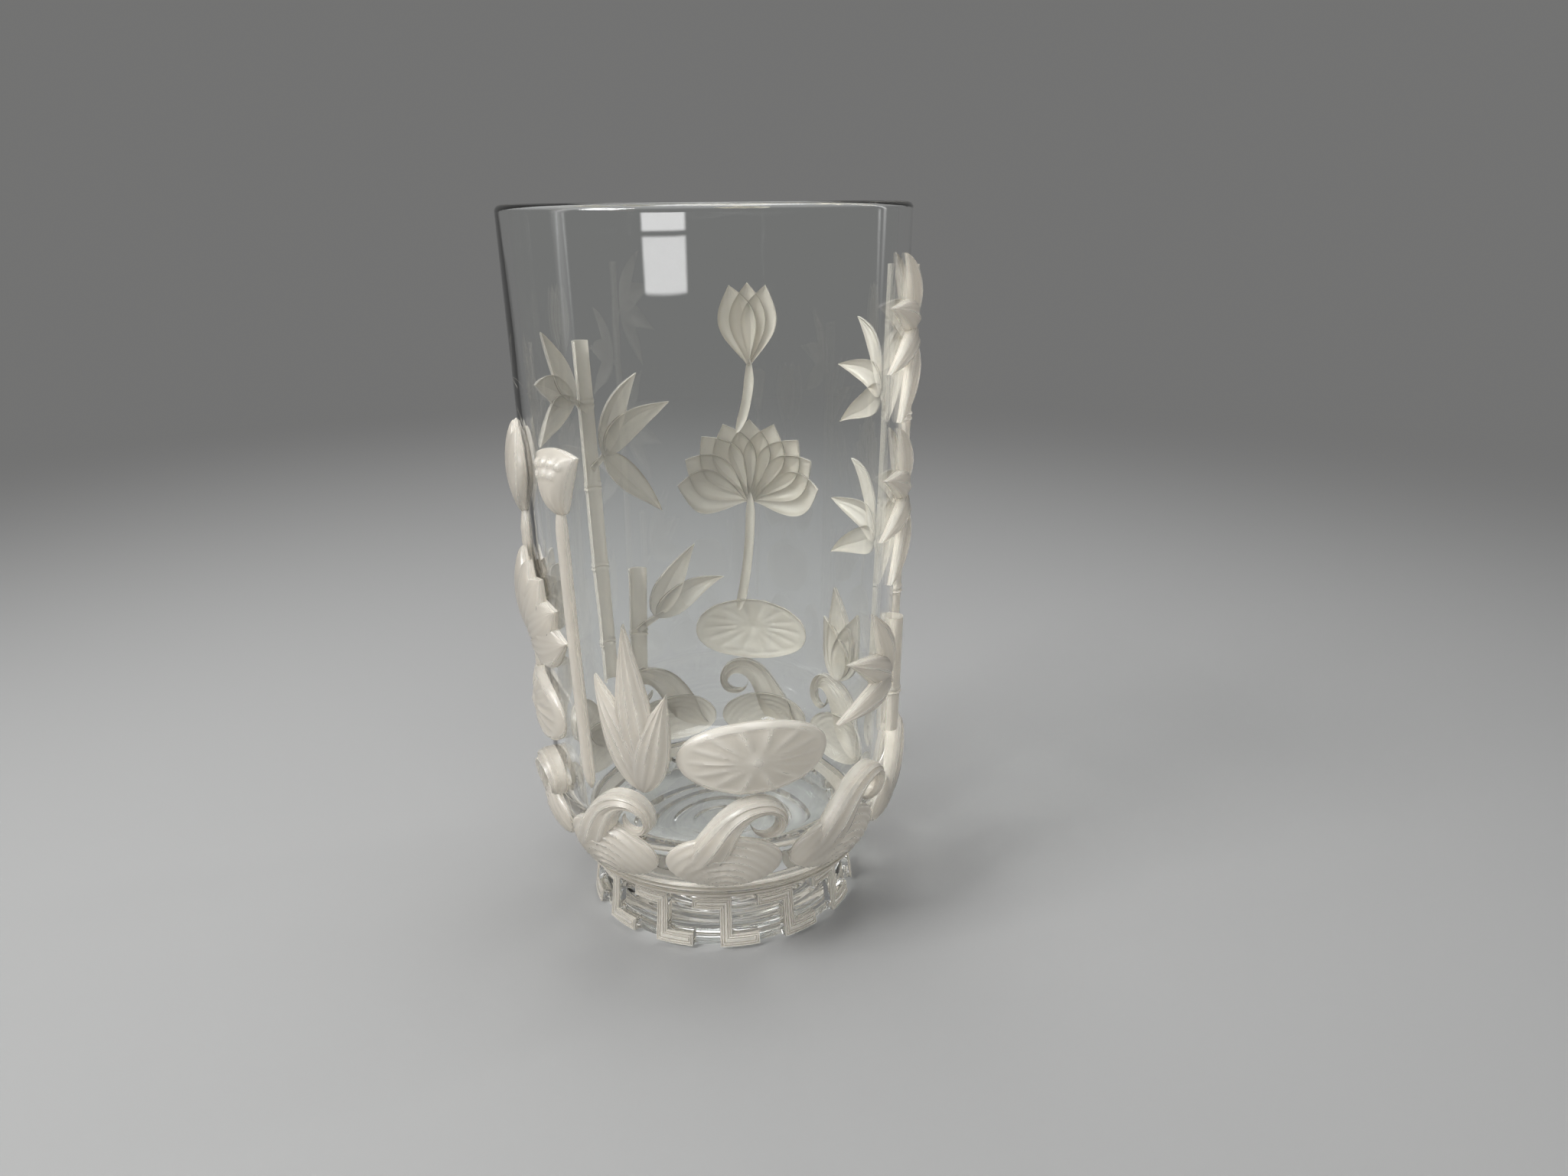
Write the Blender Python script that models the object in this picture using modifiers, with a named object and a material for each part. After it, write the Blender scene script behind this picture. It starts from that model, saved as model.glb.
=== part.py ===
"""Footed vase of clear moulded glass with a satin-frosted lotus and bamboo relief.

Units are metres and +Z is up. The origin is on the vase's axis, on the surface that it stands on.
Angles go round the axis from the front (-Y), so that a larger angle lies further right for someone
who faces the wall from outside. Every frosted motif is modelled at the front and turned to its place.
"""

import math

import bmesh
import bpy
from mathutils import Vector

MM = 0.001

# Fits and smoothness
JOINT_GAP = 0.3 * MM
MERGE = 0.01 * MM
TURN_STEPS = 48
ARC_STEPS = 6
SHARP_ANGLE = math.radians(50.0)
GLASS_IOR = 1.52

# Vessel
VASE_HEIGHT = 235.5 * MM
RIM_RADIUS = 63.5 * MM
LIP_RISE = 2.0 * MM
WALL_THICKNESS = 4.6 * MM
BOWL_RADIUS = 58.0 * MM
BOWL_HEIGHT = 50.0 * MM
BOWL_TURN = math.radians(70.0)
FLOOR_THICKNESS = 12.0 * MM
FLOOR_CORNER = 14.0 * MM

# Bead round the bowl's lower edge
RING_RADIUS = 52.6 * MM
RING_DEPTH = 3.0 * MM
RING_HEIGHT = 3.6 * MM
RING_LIFT = 1.2 * MM

# Foot and its key fret
FOOT_HEIGHT = 23.4 * MM
FOOT_TOP_RADIUS = 45.0 * MM
FOOT_BASE_RADIUS = 47.1 * MM
FOOT_FLARE = 1.8
FOOT_CHAMFER = 0.6 * MM
HOLLOW_RADIUS = 33.0 * MM
HOLLOW_DEPTH = 3.0 * MM
FRET_COUNT = 13
FRET_TOP = 18.6 * MM
FRET_DEPTH = 2.6 * MM
FRET_LIFT = 0.6 * MM
FRET_BAR = 4.6 * MM
FRET_UPPER_ARM = 9.4 * MM
FRET_LOWER_ARM = 9.2 * MM
FRET_UPPER_HEIGHT = 4.8 * MM
FRET_LOWER_HEIGHT = 5.0 * MM

# Collar that leads from the bead in to the fret
COLLAR_RADIUS = 50.6 * MM
COLLAR_EDGE = 0.6 * MM

# Running wave scroll on the rounded part of the bowl
WAVE_COUNT = 9
WAVE_LENGTH = 62.0 * MM
WAVE_WIDTH = 18.0 * MM
WAVE_CROWN = 5.4 * MM
WAVE_SETBACK = 14.5 * MM
WAVE_FOOT = 6.0 * MM
WAVE_RUN = math.radians(70.0)
WAVE_CLIMB = math.radians(55.0)
WAVE_CLIMB_END = 0.85
WAVE_CURL = math.radians(290.0)
WAVE_CURL_DELAY = 3.0
WAVE_FULL_AT = 0.3
WAVE_TAPER = 1.2
WAVE_CLEARANCE = 0.5 * MM
SWELL_LENGTH = 37.0 * MM
SWELL_WIDTH = 20.0 * MM
SWELL_CROWN = 4.0 * MM
WAVE_STEPS = 22
WAVE_SIDES = 8
SWELL_SIDES = 16

# Bamboo
CANE_RADIUS = 3.4 * MM
CANE_SWELL = 0.6 * MM
CANE_NODE = 1.4 * MM
CANE_PITCH = 30.0 * MM
CANE_TIP = 20.0 * MM
LEAF_LENGTH = 33.0 * MM
LEAF_WIDTH = 10.2 * MM
LEAF_CROWN = 3.6 * MM
LEAF_BEND = math.radians(22.0)
SPRAY_STANDOFF = 1.0 * MM

# Lotus
STEM_RADIUS = 2.0 * MM
STEM_JOINT = 0.6 * MM
PETAL_LENGTH = 30.0 * MM
PETAL_WIDTH = 17.0 * MM
PETAL_CROWN = 4.2 * MM
PETAL_SETOUT = 1.5 * MM
BUD_LENGTH = 30.0 * MM
BUD_WIDTH = 14.5 * MM
POD_LENGTH = 20.0 * MM
POD_WIDTH = 20.0 * MM
POD_CROWN = 6.0 * MM
POD_NECK = 0.28
POD_FOOT_ROUND = 0.06
POD_TOP_ROUND = 0.1
PAD_LENGTH = 48.0 * MM
PAD_WIDTH = 24.0 * MM
PAD_CROWN = 4.2 * MM

# Reeds
REED_LENGTH = 50.0 * MM
REED_WIDTH = 12.5 * MM
REED_CROWN = 4.0 * MM

# Moulded form of leaves, petals and rods
EDGE = 0.6 * MM
LAYER = 0.25 * MM
LEAF_FULLNESS = 0.66
PETAL_FULLNESS = 1.2
CROWN_FULLNESS = 0.6
LEAF_SIDES = 8
LEAF_STEPS = 6
PAD_STEPS = 8
POLE_MARGIN = 0.0001
TRAIL_PIECES = 24
ROD_RESOLUTION = 2
ROD_AXIS = 0.6 * MM

# Places of the motifs: degrees round the wall, and headings in degrees from upright
CANES = {
    "right_tall": {"angle": 94.0, "lean": -3.0},
    "right_short": {"angle": 77.0, "lean": -2.0},
    "back_tall": {"angle": 228.0, "lean": 2.0},
    "back_short": {"angle": 213.0, "lean": -2.0},
}
SPRAYS = {
    "right_foot": {"cane": "right_short", "side": -1, "headings": (20, 52, 86),
                   "over": "waves", "clear": 16.0 * MM},
    "right_middle": {"cane": "right_tall", "side": -1, "headings": (26, 58, 92, 126),
                     "over": "right_foot", "clear": 6.0 * MM},
    "right_upper": {"cane": "right_tall", "side": -1, "headings": (30, 62, 96, 130),
                    "over": "right_middle", "clear": 2.0 * MM},
    "right_lower": {"cane": "right_tall", "side": 1, "headings": (30, 64, 100),
                    "over": "waves", "clear": 49.0 * MM},
    "right_outer": {"cane": "right_tall", "side": 1, "headings": (34, 68, 104),
                    "over": "right_lower", "clear": 12.0 * MM},
    "back_lower": {"cane": "back_short", "side": -1, "headings": (22, 54),
                   "over": "waves", "clear": 19.0 * MM},
    "back_middle": {"cane": "back_tall", "side": -1, "headings": (20, 48, 126),
                    "over": "back_lower", "clear": 14.0 * MM},
    "back_upper": {"cane": "back_tall", "side": 1, "headings": (28, 62, 98),
                   "over": "waves", "clear": 96.0 * MM},
}
PADS = {
    "pad_left": {"angle": -80.0, "lift": 2.0 * MM},
    "pad_back": {"angle": 166.0, "lift": 0.5 * MM},
    "pad_front": {"angle": 10.0, "lift": 0.5 * MM},
}
HEADS = {
    "blossom_left": {"angle": -80.0, "lean": -1.0, "stem": 9.0 * MM, "over": "pad_left"},
    "bud_left": {"angle": -80.0, "lean": -1.0, "stem": 8.0 * MM, "over": "blossom_left"},
    "pod_left": {"angle": -47.0, "lean": 2.0, "stem": 84.0 * MM, "over": "waves"},
    "blossom_back": {"angle": 166.0, "lean": 4.0, "stem": 37.5 * MM, "over": "pad_back"},
    "bud_back": {"angle": 166.0, "lean": 3.0, "stem": 17.0 * MM, "over": "blossom_back"},
}
PETALS = {
    "blossom": {"headings": (-76, 77, -56, 58, -38, 37, -18, 20, 1), "width": PETAL_WIDTH},
    "bud": {"headings": (-13, 14, 1), "width": BUD_WIDTH},
}
HEAD_LENGTHS = {"blossom": PETAL_LENGTH, "bud": BUD_LENGTH, "pod": POD_LENGTH}
REEDS = {
    "front": {"angle": -24.0, "headings": (-18, -3, 12), "lengths": (0.8, 1.1, 0.7)},
    "back": {"angle": 122.0, "headings": (-14, 4, 18), "lengths": (0.6, 0.72, 0.5)},
}

# Heights and radii that follow from the sizes above
UNDERSIDE = FOOT_HEIGHT + JOINT_GAP
FLOOR = UNDERSIDE + FLOOR_THICKNESS
RING_FOOT = UNDERSIDE + RING_LIFT
BOWL_FOOT = RING_FOOT + RING_HEIGHT + JOINT_GAP
SEAT_RADIUS = RING_RADIUS - RING_DEPTH - JOINT_GAP


def clear_scene():
    for item in list(bpy.data.objects):
        bpy.data.objects.remove(item, do_unlink=True)


def new_collection(name):
    collection = bpy.data.collections.new(name)
    bpy.context.scene.collection.children.link(collection)
    return collection


def glass(name, color, roughness, transmission):
    material = bpy.data.materials.new(name)
    material.use_nodes = True
    shader = material.node_tree.nodes["Principled BSDF"]
    shader.inputs["Base Color"].default_value = (*color, 1.0)
    shader.inputs["Roughness"].default_value = roughness
    shader.inputs["Metallic"].default_value = 0.0
    shader.inputs["IOR"].default_value = GLASS_IOR
    shader.inputs["Transmission Weight"].default_value = transmission
    return material


def add_part(name, mesh, material, angle=0.0):
    """Put a mesh in the vase's collection, turned about the axis to its place."""
    part = bpy.data.objects.new(name, mesh)
    part.rotation_euler.z = math.radians(angle)
    part.parent = vase
    mesh.materials.append(material)
    parts.objects.link(part)
    return part


def make_cutter(item):
    item.hide_render = True
    item.display_type = "WIRE"
    cutters.objects.link(item)


def combine(part, operation, other):
    """Boolean of a part with another object."""
    modifier = part.modifiers.new(operation.lower(), "BOOLEAN")
    modifier.operation = operation
    modifier.solver = "EXACT"
    modifier.object = other


def arc(center, radii, start, end):
    """Points of an elliptical arc in the (radius, height) plane, angles in degrees."""
    points = []
    for step in range(ARC_STEPS + 1):
        turn = math.radians(start + (end - start) * step / ARC_STEPS)
        points.append((center[0] + radii[0] * math.cos(turn), center[1] + radii[1] * math.sin(turn)))
    return points


def turned(name, profile, material, closed=False):
    """Solid turned about Z from a profile that runs down its outer side."""
    bm = bmesh.new()
    verts = [bm.verts.new((radius, 0.0, height)) for radius, height in profile]
    for first, second in zip(verts, verts[1:]):
        bm.edges.new((first, second))
    if closed:
        bm.edges.new((verts[-1], verts[0]))
    mesh = bpy.data.meshes.new(name)
    bm.to_mesh(mesh)
    bm.free()
    part = add_part(name, mesh, material)
    screw = part.modifiers.new("turn", "SCREW")
    screw.steps = TURN_STEPS
    screw.render_steps = TURN_STEPS
    screw.use_merge_vertices = True
    screw.merge_threshold = MERGE
    screw.use_smooth_shade = True
    return part


def bowl_radii():
    """Radii of the ellipse that leads from the straight wall down to the bead."""
    depth = (BOWL_RADIUS - RING_RADIUS) / (1.0 - math.cos(BOWL_TURN))
    drop = (BOWL_HEIGHT - BOWL_FOOT) / math.sin(BOWL_TURN)
    return depth, drop


def bowl_profile(gap=0.0):
    """Outside of the bowl from the straight wall down to the bead, a gap further out."""
    depth, drop = bowl_radii()
    center = (BOWL_RADIUS - depth + gap, BOWL_HEIGHT)
    return arc(center, (depth, drop), 0, -math.degrees(BOWL_TURN))


def wall_radius(height):
    """Outer radius of the vessel: a straight taper above an elliptical bowl."""
    if height >= BOWL_HEIGHT:
        share = (height - BOWL_HEIGHT) / (VASE_HEIGHT - BOWL_HEIGHT)
        return BOWL_RADIUS + (RIM_RADIUS - BOWL_RADIUS) * share
    depth, drop = bowl_radii()
    sine = min((BOWL_HEIGHT - height) / drop, 1.0)
    return BOWL_RADIUS - depth * (1.0 - math.sqrt(1.0 - sine * sine))


def on_wall(across, height, out):
    """Point that lies across from the front line, at a height, out from the wall."""
    radius = wall_radius(height)
    angle = across / radius
    return Vector(((radius + out) * math.sin(angle), -(radius + out) * math.cos(angle), height))


def build_vessel():
    inner_top = VASE_HEIGHT - LIP_RISE
    corner_height = FLOOR + FLOOR_CORNER
    corner_radius = wall_radius(corner_height) - WALL_THICKNESS - FLOOR_CORNER
    lip = wall_radius(inner_top) - WALL_THICKNESS / 2
    profile = [(0.0, FLOOR)]
    profile += arc((corner_radius, corner_height), (FLOOR_CORNER, FLOOR_CORNER), 270, 360)
    profile += arc((lip, inner_top), (WALL_THICKNESS / 2, LIP_RISE), 180, 0)
    profile += bowl_profile()
    profile += [(SEAT_RADIUS, BOWL_FOOT), (SEAT_RADIUS, UNDERSIDE), (0.0, UNDERSIDE)]
    turned("vessel", profile, clear)


def build_wall_cutter():
    """The wall's outside, one fit larger: it shapes the backs of the canes and stems."""
    profile = [(0.0, VASE_HEIGHT), (RIM_RADIUS + JOINT_GAP, VASE_HEIGHT)]
    profile += bowl_profile(JOINT_GAP)
    profile.append((0.0, BOWL_FOOT))
    cutter = turned("wall_cutter", profile, clear)
    parts.objects.unlink(cutter)
    make_cutter(cutter)
    return cutter


def build_ring():
    center = (RING_RADIUS - RING_DEPTH, RING_FOOT + RING_HEIGHT / 2)
    profile = arc(center, (RING_DEPTH, RING_HEIGHT / 2), 90, -90)
    turned("bowl_edge_ring", profile, frosted, closed=True)


def fret_radius(height):
    """Radius of the fret's face, flaring towards the base."""
    drop = max(1.0 - height / FOOT_HEIGHT, 0.0)
    return FOOT_TOP_RADIUS + (FOOT_BASE_RADIUS - FOOT_TOP_RADIUS) * drop ** FOOT_FLARE


def core_radius(height):
    return fret_radius(height) - FRET_DEPTH - JOINT_GAP


def build_foot():
    levels = [FOOT_HEIGHT * step / ARC_STEPS for step in range(ARC_STEPS, 0, -1)]
    profile = [(0.0, FOOT_HEIGHT)]
    profile += [(core_radius(height), height) for height in levels]
    profile += [(core_radius(FOOT_CHAMFER), FOOT_CHAMFER), (core_radius(0.0) - FOOT_CHAMFER, 0.0)]
    profile += arc((0.0, 0.0), (HOLLOW_RADIUS, HOLLOW_DEPTH), 0, 90)[:-1]
    profile.append((0.0, HOLLOW_DEPTH))
    turned("foot", profile, clear)


def build_collar():
    """Sloping ring under the bead, seated on the foot's core just above the fret."""
    foot = FRET_TOP + JOINT_GAP
    inner = core_radius(FRET_TOP) + JOINT_GAP
    profile = [(inner, FOOT_HEIGHT), (COLLAR_RADIUS, FOOT_HEIGHT), (COLLAR_RADIUS, FOOT_HEIGHT - COLLAR_EDGE),
               (fret_radius(foot), foot), (inner, foot)]
    turned("foot_collar", profile, frosted, closed=True)


def fret_mesh():
    """One hook of the key fret: a bar with an arm to the left above and one to the right below."""
    half = FRET_BAR / 2
    columns = (-half - FRET_UPPER_ARM, -half - FRET_UPPER_ARM / 2, -half,
               half, half + FRET_LOWER_ARM / 2, half + FRET_LOWER_ARM)
    rows = (FRET_LIFT, FRET_LIFT + FRET_LOWER_HEIGHT, FRET_TOP - FRET_UPPER_HEIGHT, FRET_TOP)
    bar_column = columns.index(-half)
    last_column = len(columns) - 1
    last_row = len(rows) - 1
    bm = bmesh.new()
    bmesh.ops.create_grid(bm, x_segments=last_column, y_segments=last_row, size=1.0)
    spare = []
    for face in bm.faces:
        center = face.calc_center_median()
        column = int((center.x + 1.0) / 2.0 * last_column)
        row = int((center.y + 1.0) / 2.0 * last_row)
        in_upper_arm = column < bar_column and row == last_row - 1
        in_lower_arm = column > bar_column and row == 0
        if column != bar_column and not in_upper_arm and not in_lower_arm:
            spare.append(face)
    for vert in bm.verts:
        across = columns[round((vert.co.x + 1.0) / 2.0 * last_column)]
        height = rows[round((vert.co.y + 1.0) / 2.0 * last_row)]
        radius = core_radius(height) + JOINT_GAP
        angle = across / fret_radius(FRET_TOP / 2)
        vert.co = (radius * math.sin(angle), -radius * math.cos(angle), height)
    bmesh.ops.delete(bm, geom=spare, context="FACES")
    mesh = bpy.data.meshes.new("fret_hook")
    bm.to_mesh(mesh)
    bm.free()
    return mesh


def build_fret():
    mesh = fret_mesh()
    mesh.materials.append(frosted)
    for index in range(FRET_COUNT):
        hook = bpy.data.objects.new(f"fret_hook_{index + 1:02d}", mesh)
        hook.rotation_euler.z = 2 * math.pi * index / FRET_COUNT
        hook.parent = vase
        parts.objects.link(hook)
        solid = hook.modifiers.new("depth", "SOLIDIFY")
        solid.thickness = FRET_DEPTH
        solid.offset = 1.0


def lance(along):
    """Half-width share of a narrow leaf, widest near its foot."""
    return math.sin(math.pi * along ** LEAF_FULLNESS)


def broad(along):
    """Half-width share of a pointed petal, widest past its middle."""
    return math.sin(math.pi * along ** PETAL_FULLNESS)


def oval(along):
    return 2.0 * math.sqrt(along * (1.0 - along))


def cup(along):
    """Half-width share of a seed pod, which widens to a blunt top."""
    end = min(along / POD_FOOT_ROUND, (1.0 - along) / POD_TOP_ROUND, 1.0)
    return (POD_NECK + (1.0 - POD_NECK) * along) * math.sqrt(max(end, 0.0))


def crest(along):
    """Half-width share of a wave: it swells from its foot and thins to its curled tip."""
    rise = math.sin(math.pi / 2 * min(along / WAVE_FULL_AT, 1.0))
    return ((1.0 - along) * rise) ** WAVE_TAPER


def arch(heading, bend=0.0):
    """Directions along a leaf that starts at a heading and turns evenly by bend."""
    return lambda along: heading + bend * along


def breaker(along):
    """Directions along a wave: it runs to the right, climbs, then curls over at its crest."""
    climb = WAVE_CLIMB * math.sin(math.pi * min(along / WAVE_CLIMB_END, 1.0))
    return WAVE_RUN - climb + WAVE_CURL * along ** WAVE_CURL_DELAY


def trail(direction, length, along):
    """Place, across and up from its foot, on a line that follows a direction."""
    across = 0.0
    height = 0.0
    step = length * along / TRAIL_PIECES
    for piece in range(TRAIL_PIECES):
        turn = direction(along * (piece + 0.5) / TRAIL_PIECES)
        across += step * math.sin(turn)
        height += step * math.cos(turn)
    return across, height


def edge_point(direction, length, width, outline, along, side):
    """Place, across and up from its foot, on a leaf: side is -1 and 1 at its edges."""
    across, height = trail(direction, length, along)
    turn = direction(along)
    shift = side * outline(along) * width / 2
    return across + shift * math.cos(turn), height - shift * math.sin(turn)


def edge_points(direction, length, width, outline):
    """Both edges of a leaf, to measure how far it reaches."""
    stations = [step / TRAIL_PIECES for step in range(TRAIL_PIECES + 1)]
    return [edge_point(direction, length, width, outline, along, side)
            for along in stations for side in (-1, 1)]


def leaf_mesh(root, direction, length, width, crown, outline, base=JOINT_GAP,
              steps=LEAF_STEPS, sides=LEAF_SIDES):
    """Leaf or petal moulded on the wall: a crowned top, an upright edge and a back that fits the wall."""
    bm = bmesh.new()
    bmesh.ops.create_uvsphere(bm, u_segments=sides, v_segments=steps, radius=1.0)
    for vert in bm.verts:
        along = min(max((vert.co.z + 1.0) / 2.0, 0.0), 1.0)
        section = math.hypot(vert.co.x, vert.co.y)
        side = 0.0
        lift = 0.0
        if section > POLE_MARGIN:
            side = vert.co.x / section
            lift = vert.co.y / section
        if lift < -POLE_MARGIN:
            out = base
            side /= math.cos(2 * math.pi / sides)
        else:
            swell = math.sin(math.pi * along) ** CROWN_FULLNESS
            out = base + EDGE + (crown - EDGE) * max(lift, 0.0) * swell
        across, height = edge_point(direction, length, width, outline, along, side)
        vert.co = on_wall(root[0] + across, root[1] + height, out)
    bmesh.ops.reverse_faces(bm, faces=bm.faces)
    bmesh.ops.triangulate(bm, faces=bm.faces)
    mesh = bpy.data.meshes.new("leaf")
    bm.to_mesh(mesh)
    bm.free()
    mesh.shade_smooth()
    mesh.set_sharp_from_angle(angle=SHARP_ANGLE)
    return mesh


def join_leaves(name, meshes, angle):
    """One solid from leaves that overlap at their foot."""
    whole = add_part(name, meshes[0], frosted, angle)
    for mesh in meshes[1:]:
        leaf = bpy.data.objects.new(name + "_leaf", mesh)
        leaf.parent = whole
        make_cutter(leaf)
        combine(whole, "UNION", leaf)


def rod(name, points, radii, angle):
    """Half-round rod along points near the wall, with a radius at each point and a back that fits."""
    curve = bpy.data.curves.new(name, "CURVE")
    curve.dimensions = "3D"
    curve.bevel_depth = 1.0
    curve.bevel_resolution = ROD_RESOLUTION
    curve.use_fill_caps = True
    spline = curve.splines.new("POLY")
    spline.points.add(len(points) - 1)
    for point, place, radius in zip(spline.points, points, radii):
        point.co = (*place, 1.0)
        point.radius = radius
    guide = bpy.data.objects.new(name + "_guide", curve)
    cutters.objects.link(guide)
    graph = bpy.context.evaluated_depsgraph_get()
    mesh = bpy.data.meshes.new_from_object(guide.evaluated_get(graph))
    bpy.data.objects.remove(guide)
    bm = bmesh.new()
    bm.from_mesh(mesh)
    bmesh.ops.remove_doubles(bm, verts=bm.verts, dist=MERGE)
    bm.to_mesh(mesh)
    bm.free()
    combine(add_part(name, mesh, frosted, angle), "DIFFERENCE", wall_cutter)


def wave_root():
    return -WAVE_SETBACK, BOWL_FOOT + WAVE_FOOT


def waves_top():
    """Height just above the waves, where canes, stems and reeds start."""
    edges = edge_points(breaker, WAVE_LENGTH, WAVE_WIDTH, crest)
    return wave_root()[1] + max(height for across, height in edges) + WAVE_CLEARANCE


def build_waves():
    """Waves that break over a broad swell, in a row round the bowl."""
    root = wave_root()
    swell_root = (-SWELL_LENGTH / 2, BOWL_FOOT + SWELL_WIDTH / 2 + JOINT_GAP)
    for index in range(WAVE_COUNT):
        breaking = leaf_mesh(root, breaker, WAVE_LENGTH, WAVE_WIDTH, WAVE_CROWN, crest,
                             base=JOINT_GAP + LAYER, steps=WAVE_STEPS, sides=WAVE_SIDES)
        swell = leaf_mesh(swell_root, arch(math.pi / 2), SWELL_LENGTH, SWELL_WIDTH, SWELL_CROWN, oval,
                          steps=PAD_STEPS, sides=SWELL_SIDES)
        join_leaves(f"wave_{index + 1:02d}", [breaking, swell], 360.0 * index / WAVE_COUNT)


def spray_edges(spray):
    """Edges of a spray's leaves, measured from its foot, for a spray on the right of its cane."""
    points = []
    for heading in spray["headings"]:
        points += edge_points(arch(math.radians(heading), LEAF_BEND), LEAF_LENGTH, LEAF_WIDTH, lance)
    return points


def spray_height(name):
    """Height of a spray's foot, with its lowest leaf clear of what is below."""
    spray = SPRAYS[name]
    below = waves_top() if spray["over"] == "waves" else spray_top(spray["over"])
    return below + spray["clear"] - min(height for across, height in spray_edges(spray))


def spray_top(name):
    return spray_height(name) + max(height for across, height in spray_edges(SPRAYS[name]))


def cane_top(name):
    """Top of a cane: it runs on past the foot of its highest spray."""
    return max(spray_height(spray) for spray in SPRAYS if SPRAYS[spray]["cane"] == name) + CANE_TIP


def cane_across(name, height):
    """How far a cane has leaned from its foot at a height."""
    share = (height - waves_top()) / (cane_top(name) - waves_top())
    return math.radians(CANES[name]["lean"]) * wall_radius(height) * share


def build_cane(name):
    foot = waves_top()
    top = cane_top(name)
    stations = [(foot, CANE_RADIUS)]
    node = foot + CANE_PITCH / 2
    while node < top - CANE_PITCH / 4:
        stations += [(node - CANE_NODE, CANE_RADIUS), (node, CANE_RADIUS + CANE_SWELL),
                     (node + CANE_NODE, CANE_RADIUS)]
        node += CANE_PITCH
    stations.append((top, CANE_RADIUS))
    points = [on_wall(cane_across(name, height), height, ROD_AXIS) for height, radius in stations]
    rod("bamboo_cane_" + name, points, [radius for height, radius in stations], CANES[name]["angle"])


def build_spray(name):
    spray = SPRAYS[name]
    side = spray["side"]
    height = spray_height(name)
    inward = min(across for across, height_above in spray_edges(spray))
    setback = CANE_RADIUS + CANE_SWELL + SPRAY_STANDOFF - inward
    root = (cane_across(spray["cane"], height) + side * setback, height)
    meshes = []
    for layer, heading in enumerate(spray["headings"]):
        direction = arch(side * math.radians(heading), side * LEAF_BEND)
        meshes.append(leaf_mesh(root, direction, LEAF_LENGTH, LEAF_WIDTH, LEAF_CROWN, lance,
                                base=JOINT_GAP + LAYER * layer))
    join_leaves("bamboo_leaves_" + name, meshes, CANES[spray["cane"]]["angle"])


def pad_middle(name):
    """Height of the middle of a pad that floats just above the waves."""
    return waves_top() + PADS[name]["lift"] + PAD_WIDTH / 2


def build_pad(name):
    root = (-PAD_LENGTH / 2, pad_middle(name))
    mesh = leaf_mesh(root, arch(math.pi / 2), PAD_LENGTH, PAD_WIDTH, PAD_CROWN, oval, steps=PAD_STEPS)
    add_part("lotus_" + name, mesh, frosted, PADS[name]["angle"])


def stem_foot(name):
    """Height where a head's stem starts: on a pad, on another head or above the waves."""
    below = HEADS[name]["over"]
    if below in PADS:
        return pad_middle(below) + PAD_WIDTH / 2 + STEM_JOINT
    if below in HEADS:
        return head_height(below) + PETAL_SETOUT + HEAD_LENGTHS[below.split("_")[0]] + STEM_JOINT
    return waves_top() + STEM_JOINT


def head_height(name):
    """Height of the foot of a blossom, bud or pod, on top of its stem."""
    return stem_foot(name) + HEADS[name]["stem"] + STEM_JOINT


def build_head(name):
    kind, side = name.split("_")
    head = HEADS[name]
    root_height = head_height(name)
    length = HEAD_LENGTHS[kind]
    meshes = []
    if kind in PETALS:
        for layer, heading in enumerate(PETALS[kind]["headings"]):
            turn = math.radians(heading)
            start = (PETAL_SETOUT * math.sin(turn), root_height + PETAL_SETOUT * math.cos(turn))
            meshes.append(leaf_mesh(start, arch(turn), length, PETALS[kind]["width"], PETAL_CROWN, broad,
                                    base=JOINT_GAP + LAYER * layer))
    else:
        meshes.append(leaf_mesh((0.0, root_height), arch(0.0), length, POD_WIDTH, POD_CROWN, cup))
    join_leaves("lotus_" + name, meshes, head["angle"])
    points = []
    for step in range(ARC_STEPS + 1):
        share = step / ARC_STEPS
        height = stem_foot(name) + head["stem"] * share
        across = math.radians(head["lean"]) * wall_radius(height) * (1.0 - share) ** 2
        points.append(on_wall(across, height, ROD_AXIS))
    rod(f"lotus_{kind}_stem_{side}", points, [STEM_RADIUS] * len(points), head["angle"])


def build_reeds(name):
    clump = REEDS[name]
    root = (0.0, waves_top())
    meshes = []
    for layer, heading in enumerate(clump["headings"]):
        direction = arch(math.radians(heading), math.radians(heading) / 2)
        meshes.append(leaf_mesh(root, direction, REED_LENGTH * clump["lengths"][layer], REED_WIDTH,
                                REED_CROWN, lance, base=JOINT_GAP + LAYER * layer))
    join_leaves("reeds_" + name, meshes, clump["angle"])


clear_scene()
parts = new_collection("glass_vase")
cutters = new_collection("glass_vase_cutters")
vase = bpy.data.objects.new("vase_axis", None)
parts.objects.link(vase)
clear = glass("clear_glass", (0.96, 0.97, 0.96), 0.02, 1.0)
frosted = glass("frosted_glass", (0.90, 0.88, 0.82), 0.55, 0.6)

wall_cutter = build_wall_cutter()
build_vessel()
build_ring()
build_foot()
build_collar()
build_fret()
build_waves()
for cane_name in CANES:
    build_cane(cane_name)
for spray_name in SPRAYS:
    build_spray(spray_name)
for pad_name in PADS:
    build_pad(pad_name)
for head_name in HEADS:
    build_head(head_name)
for reed_name in REEDS:
    build_reeds(reed_name)
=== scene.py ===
"""Looks of a footed vase of clear moulded glass with a satin-frosted lotus and bamboo relief.

The frame gives the vase's main sizes and the heights of its motifs. Angles go round the axis from the
front (-Y), so that a larger angle lies further right for someone who faces the wall from outside.
Every frosted motif is shaped at the front and turned to its place.
"""

import math

import bmesh
import bpy
from mathutils import Matrix, Vector


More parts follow.
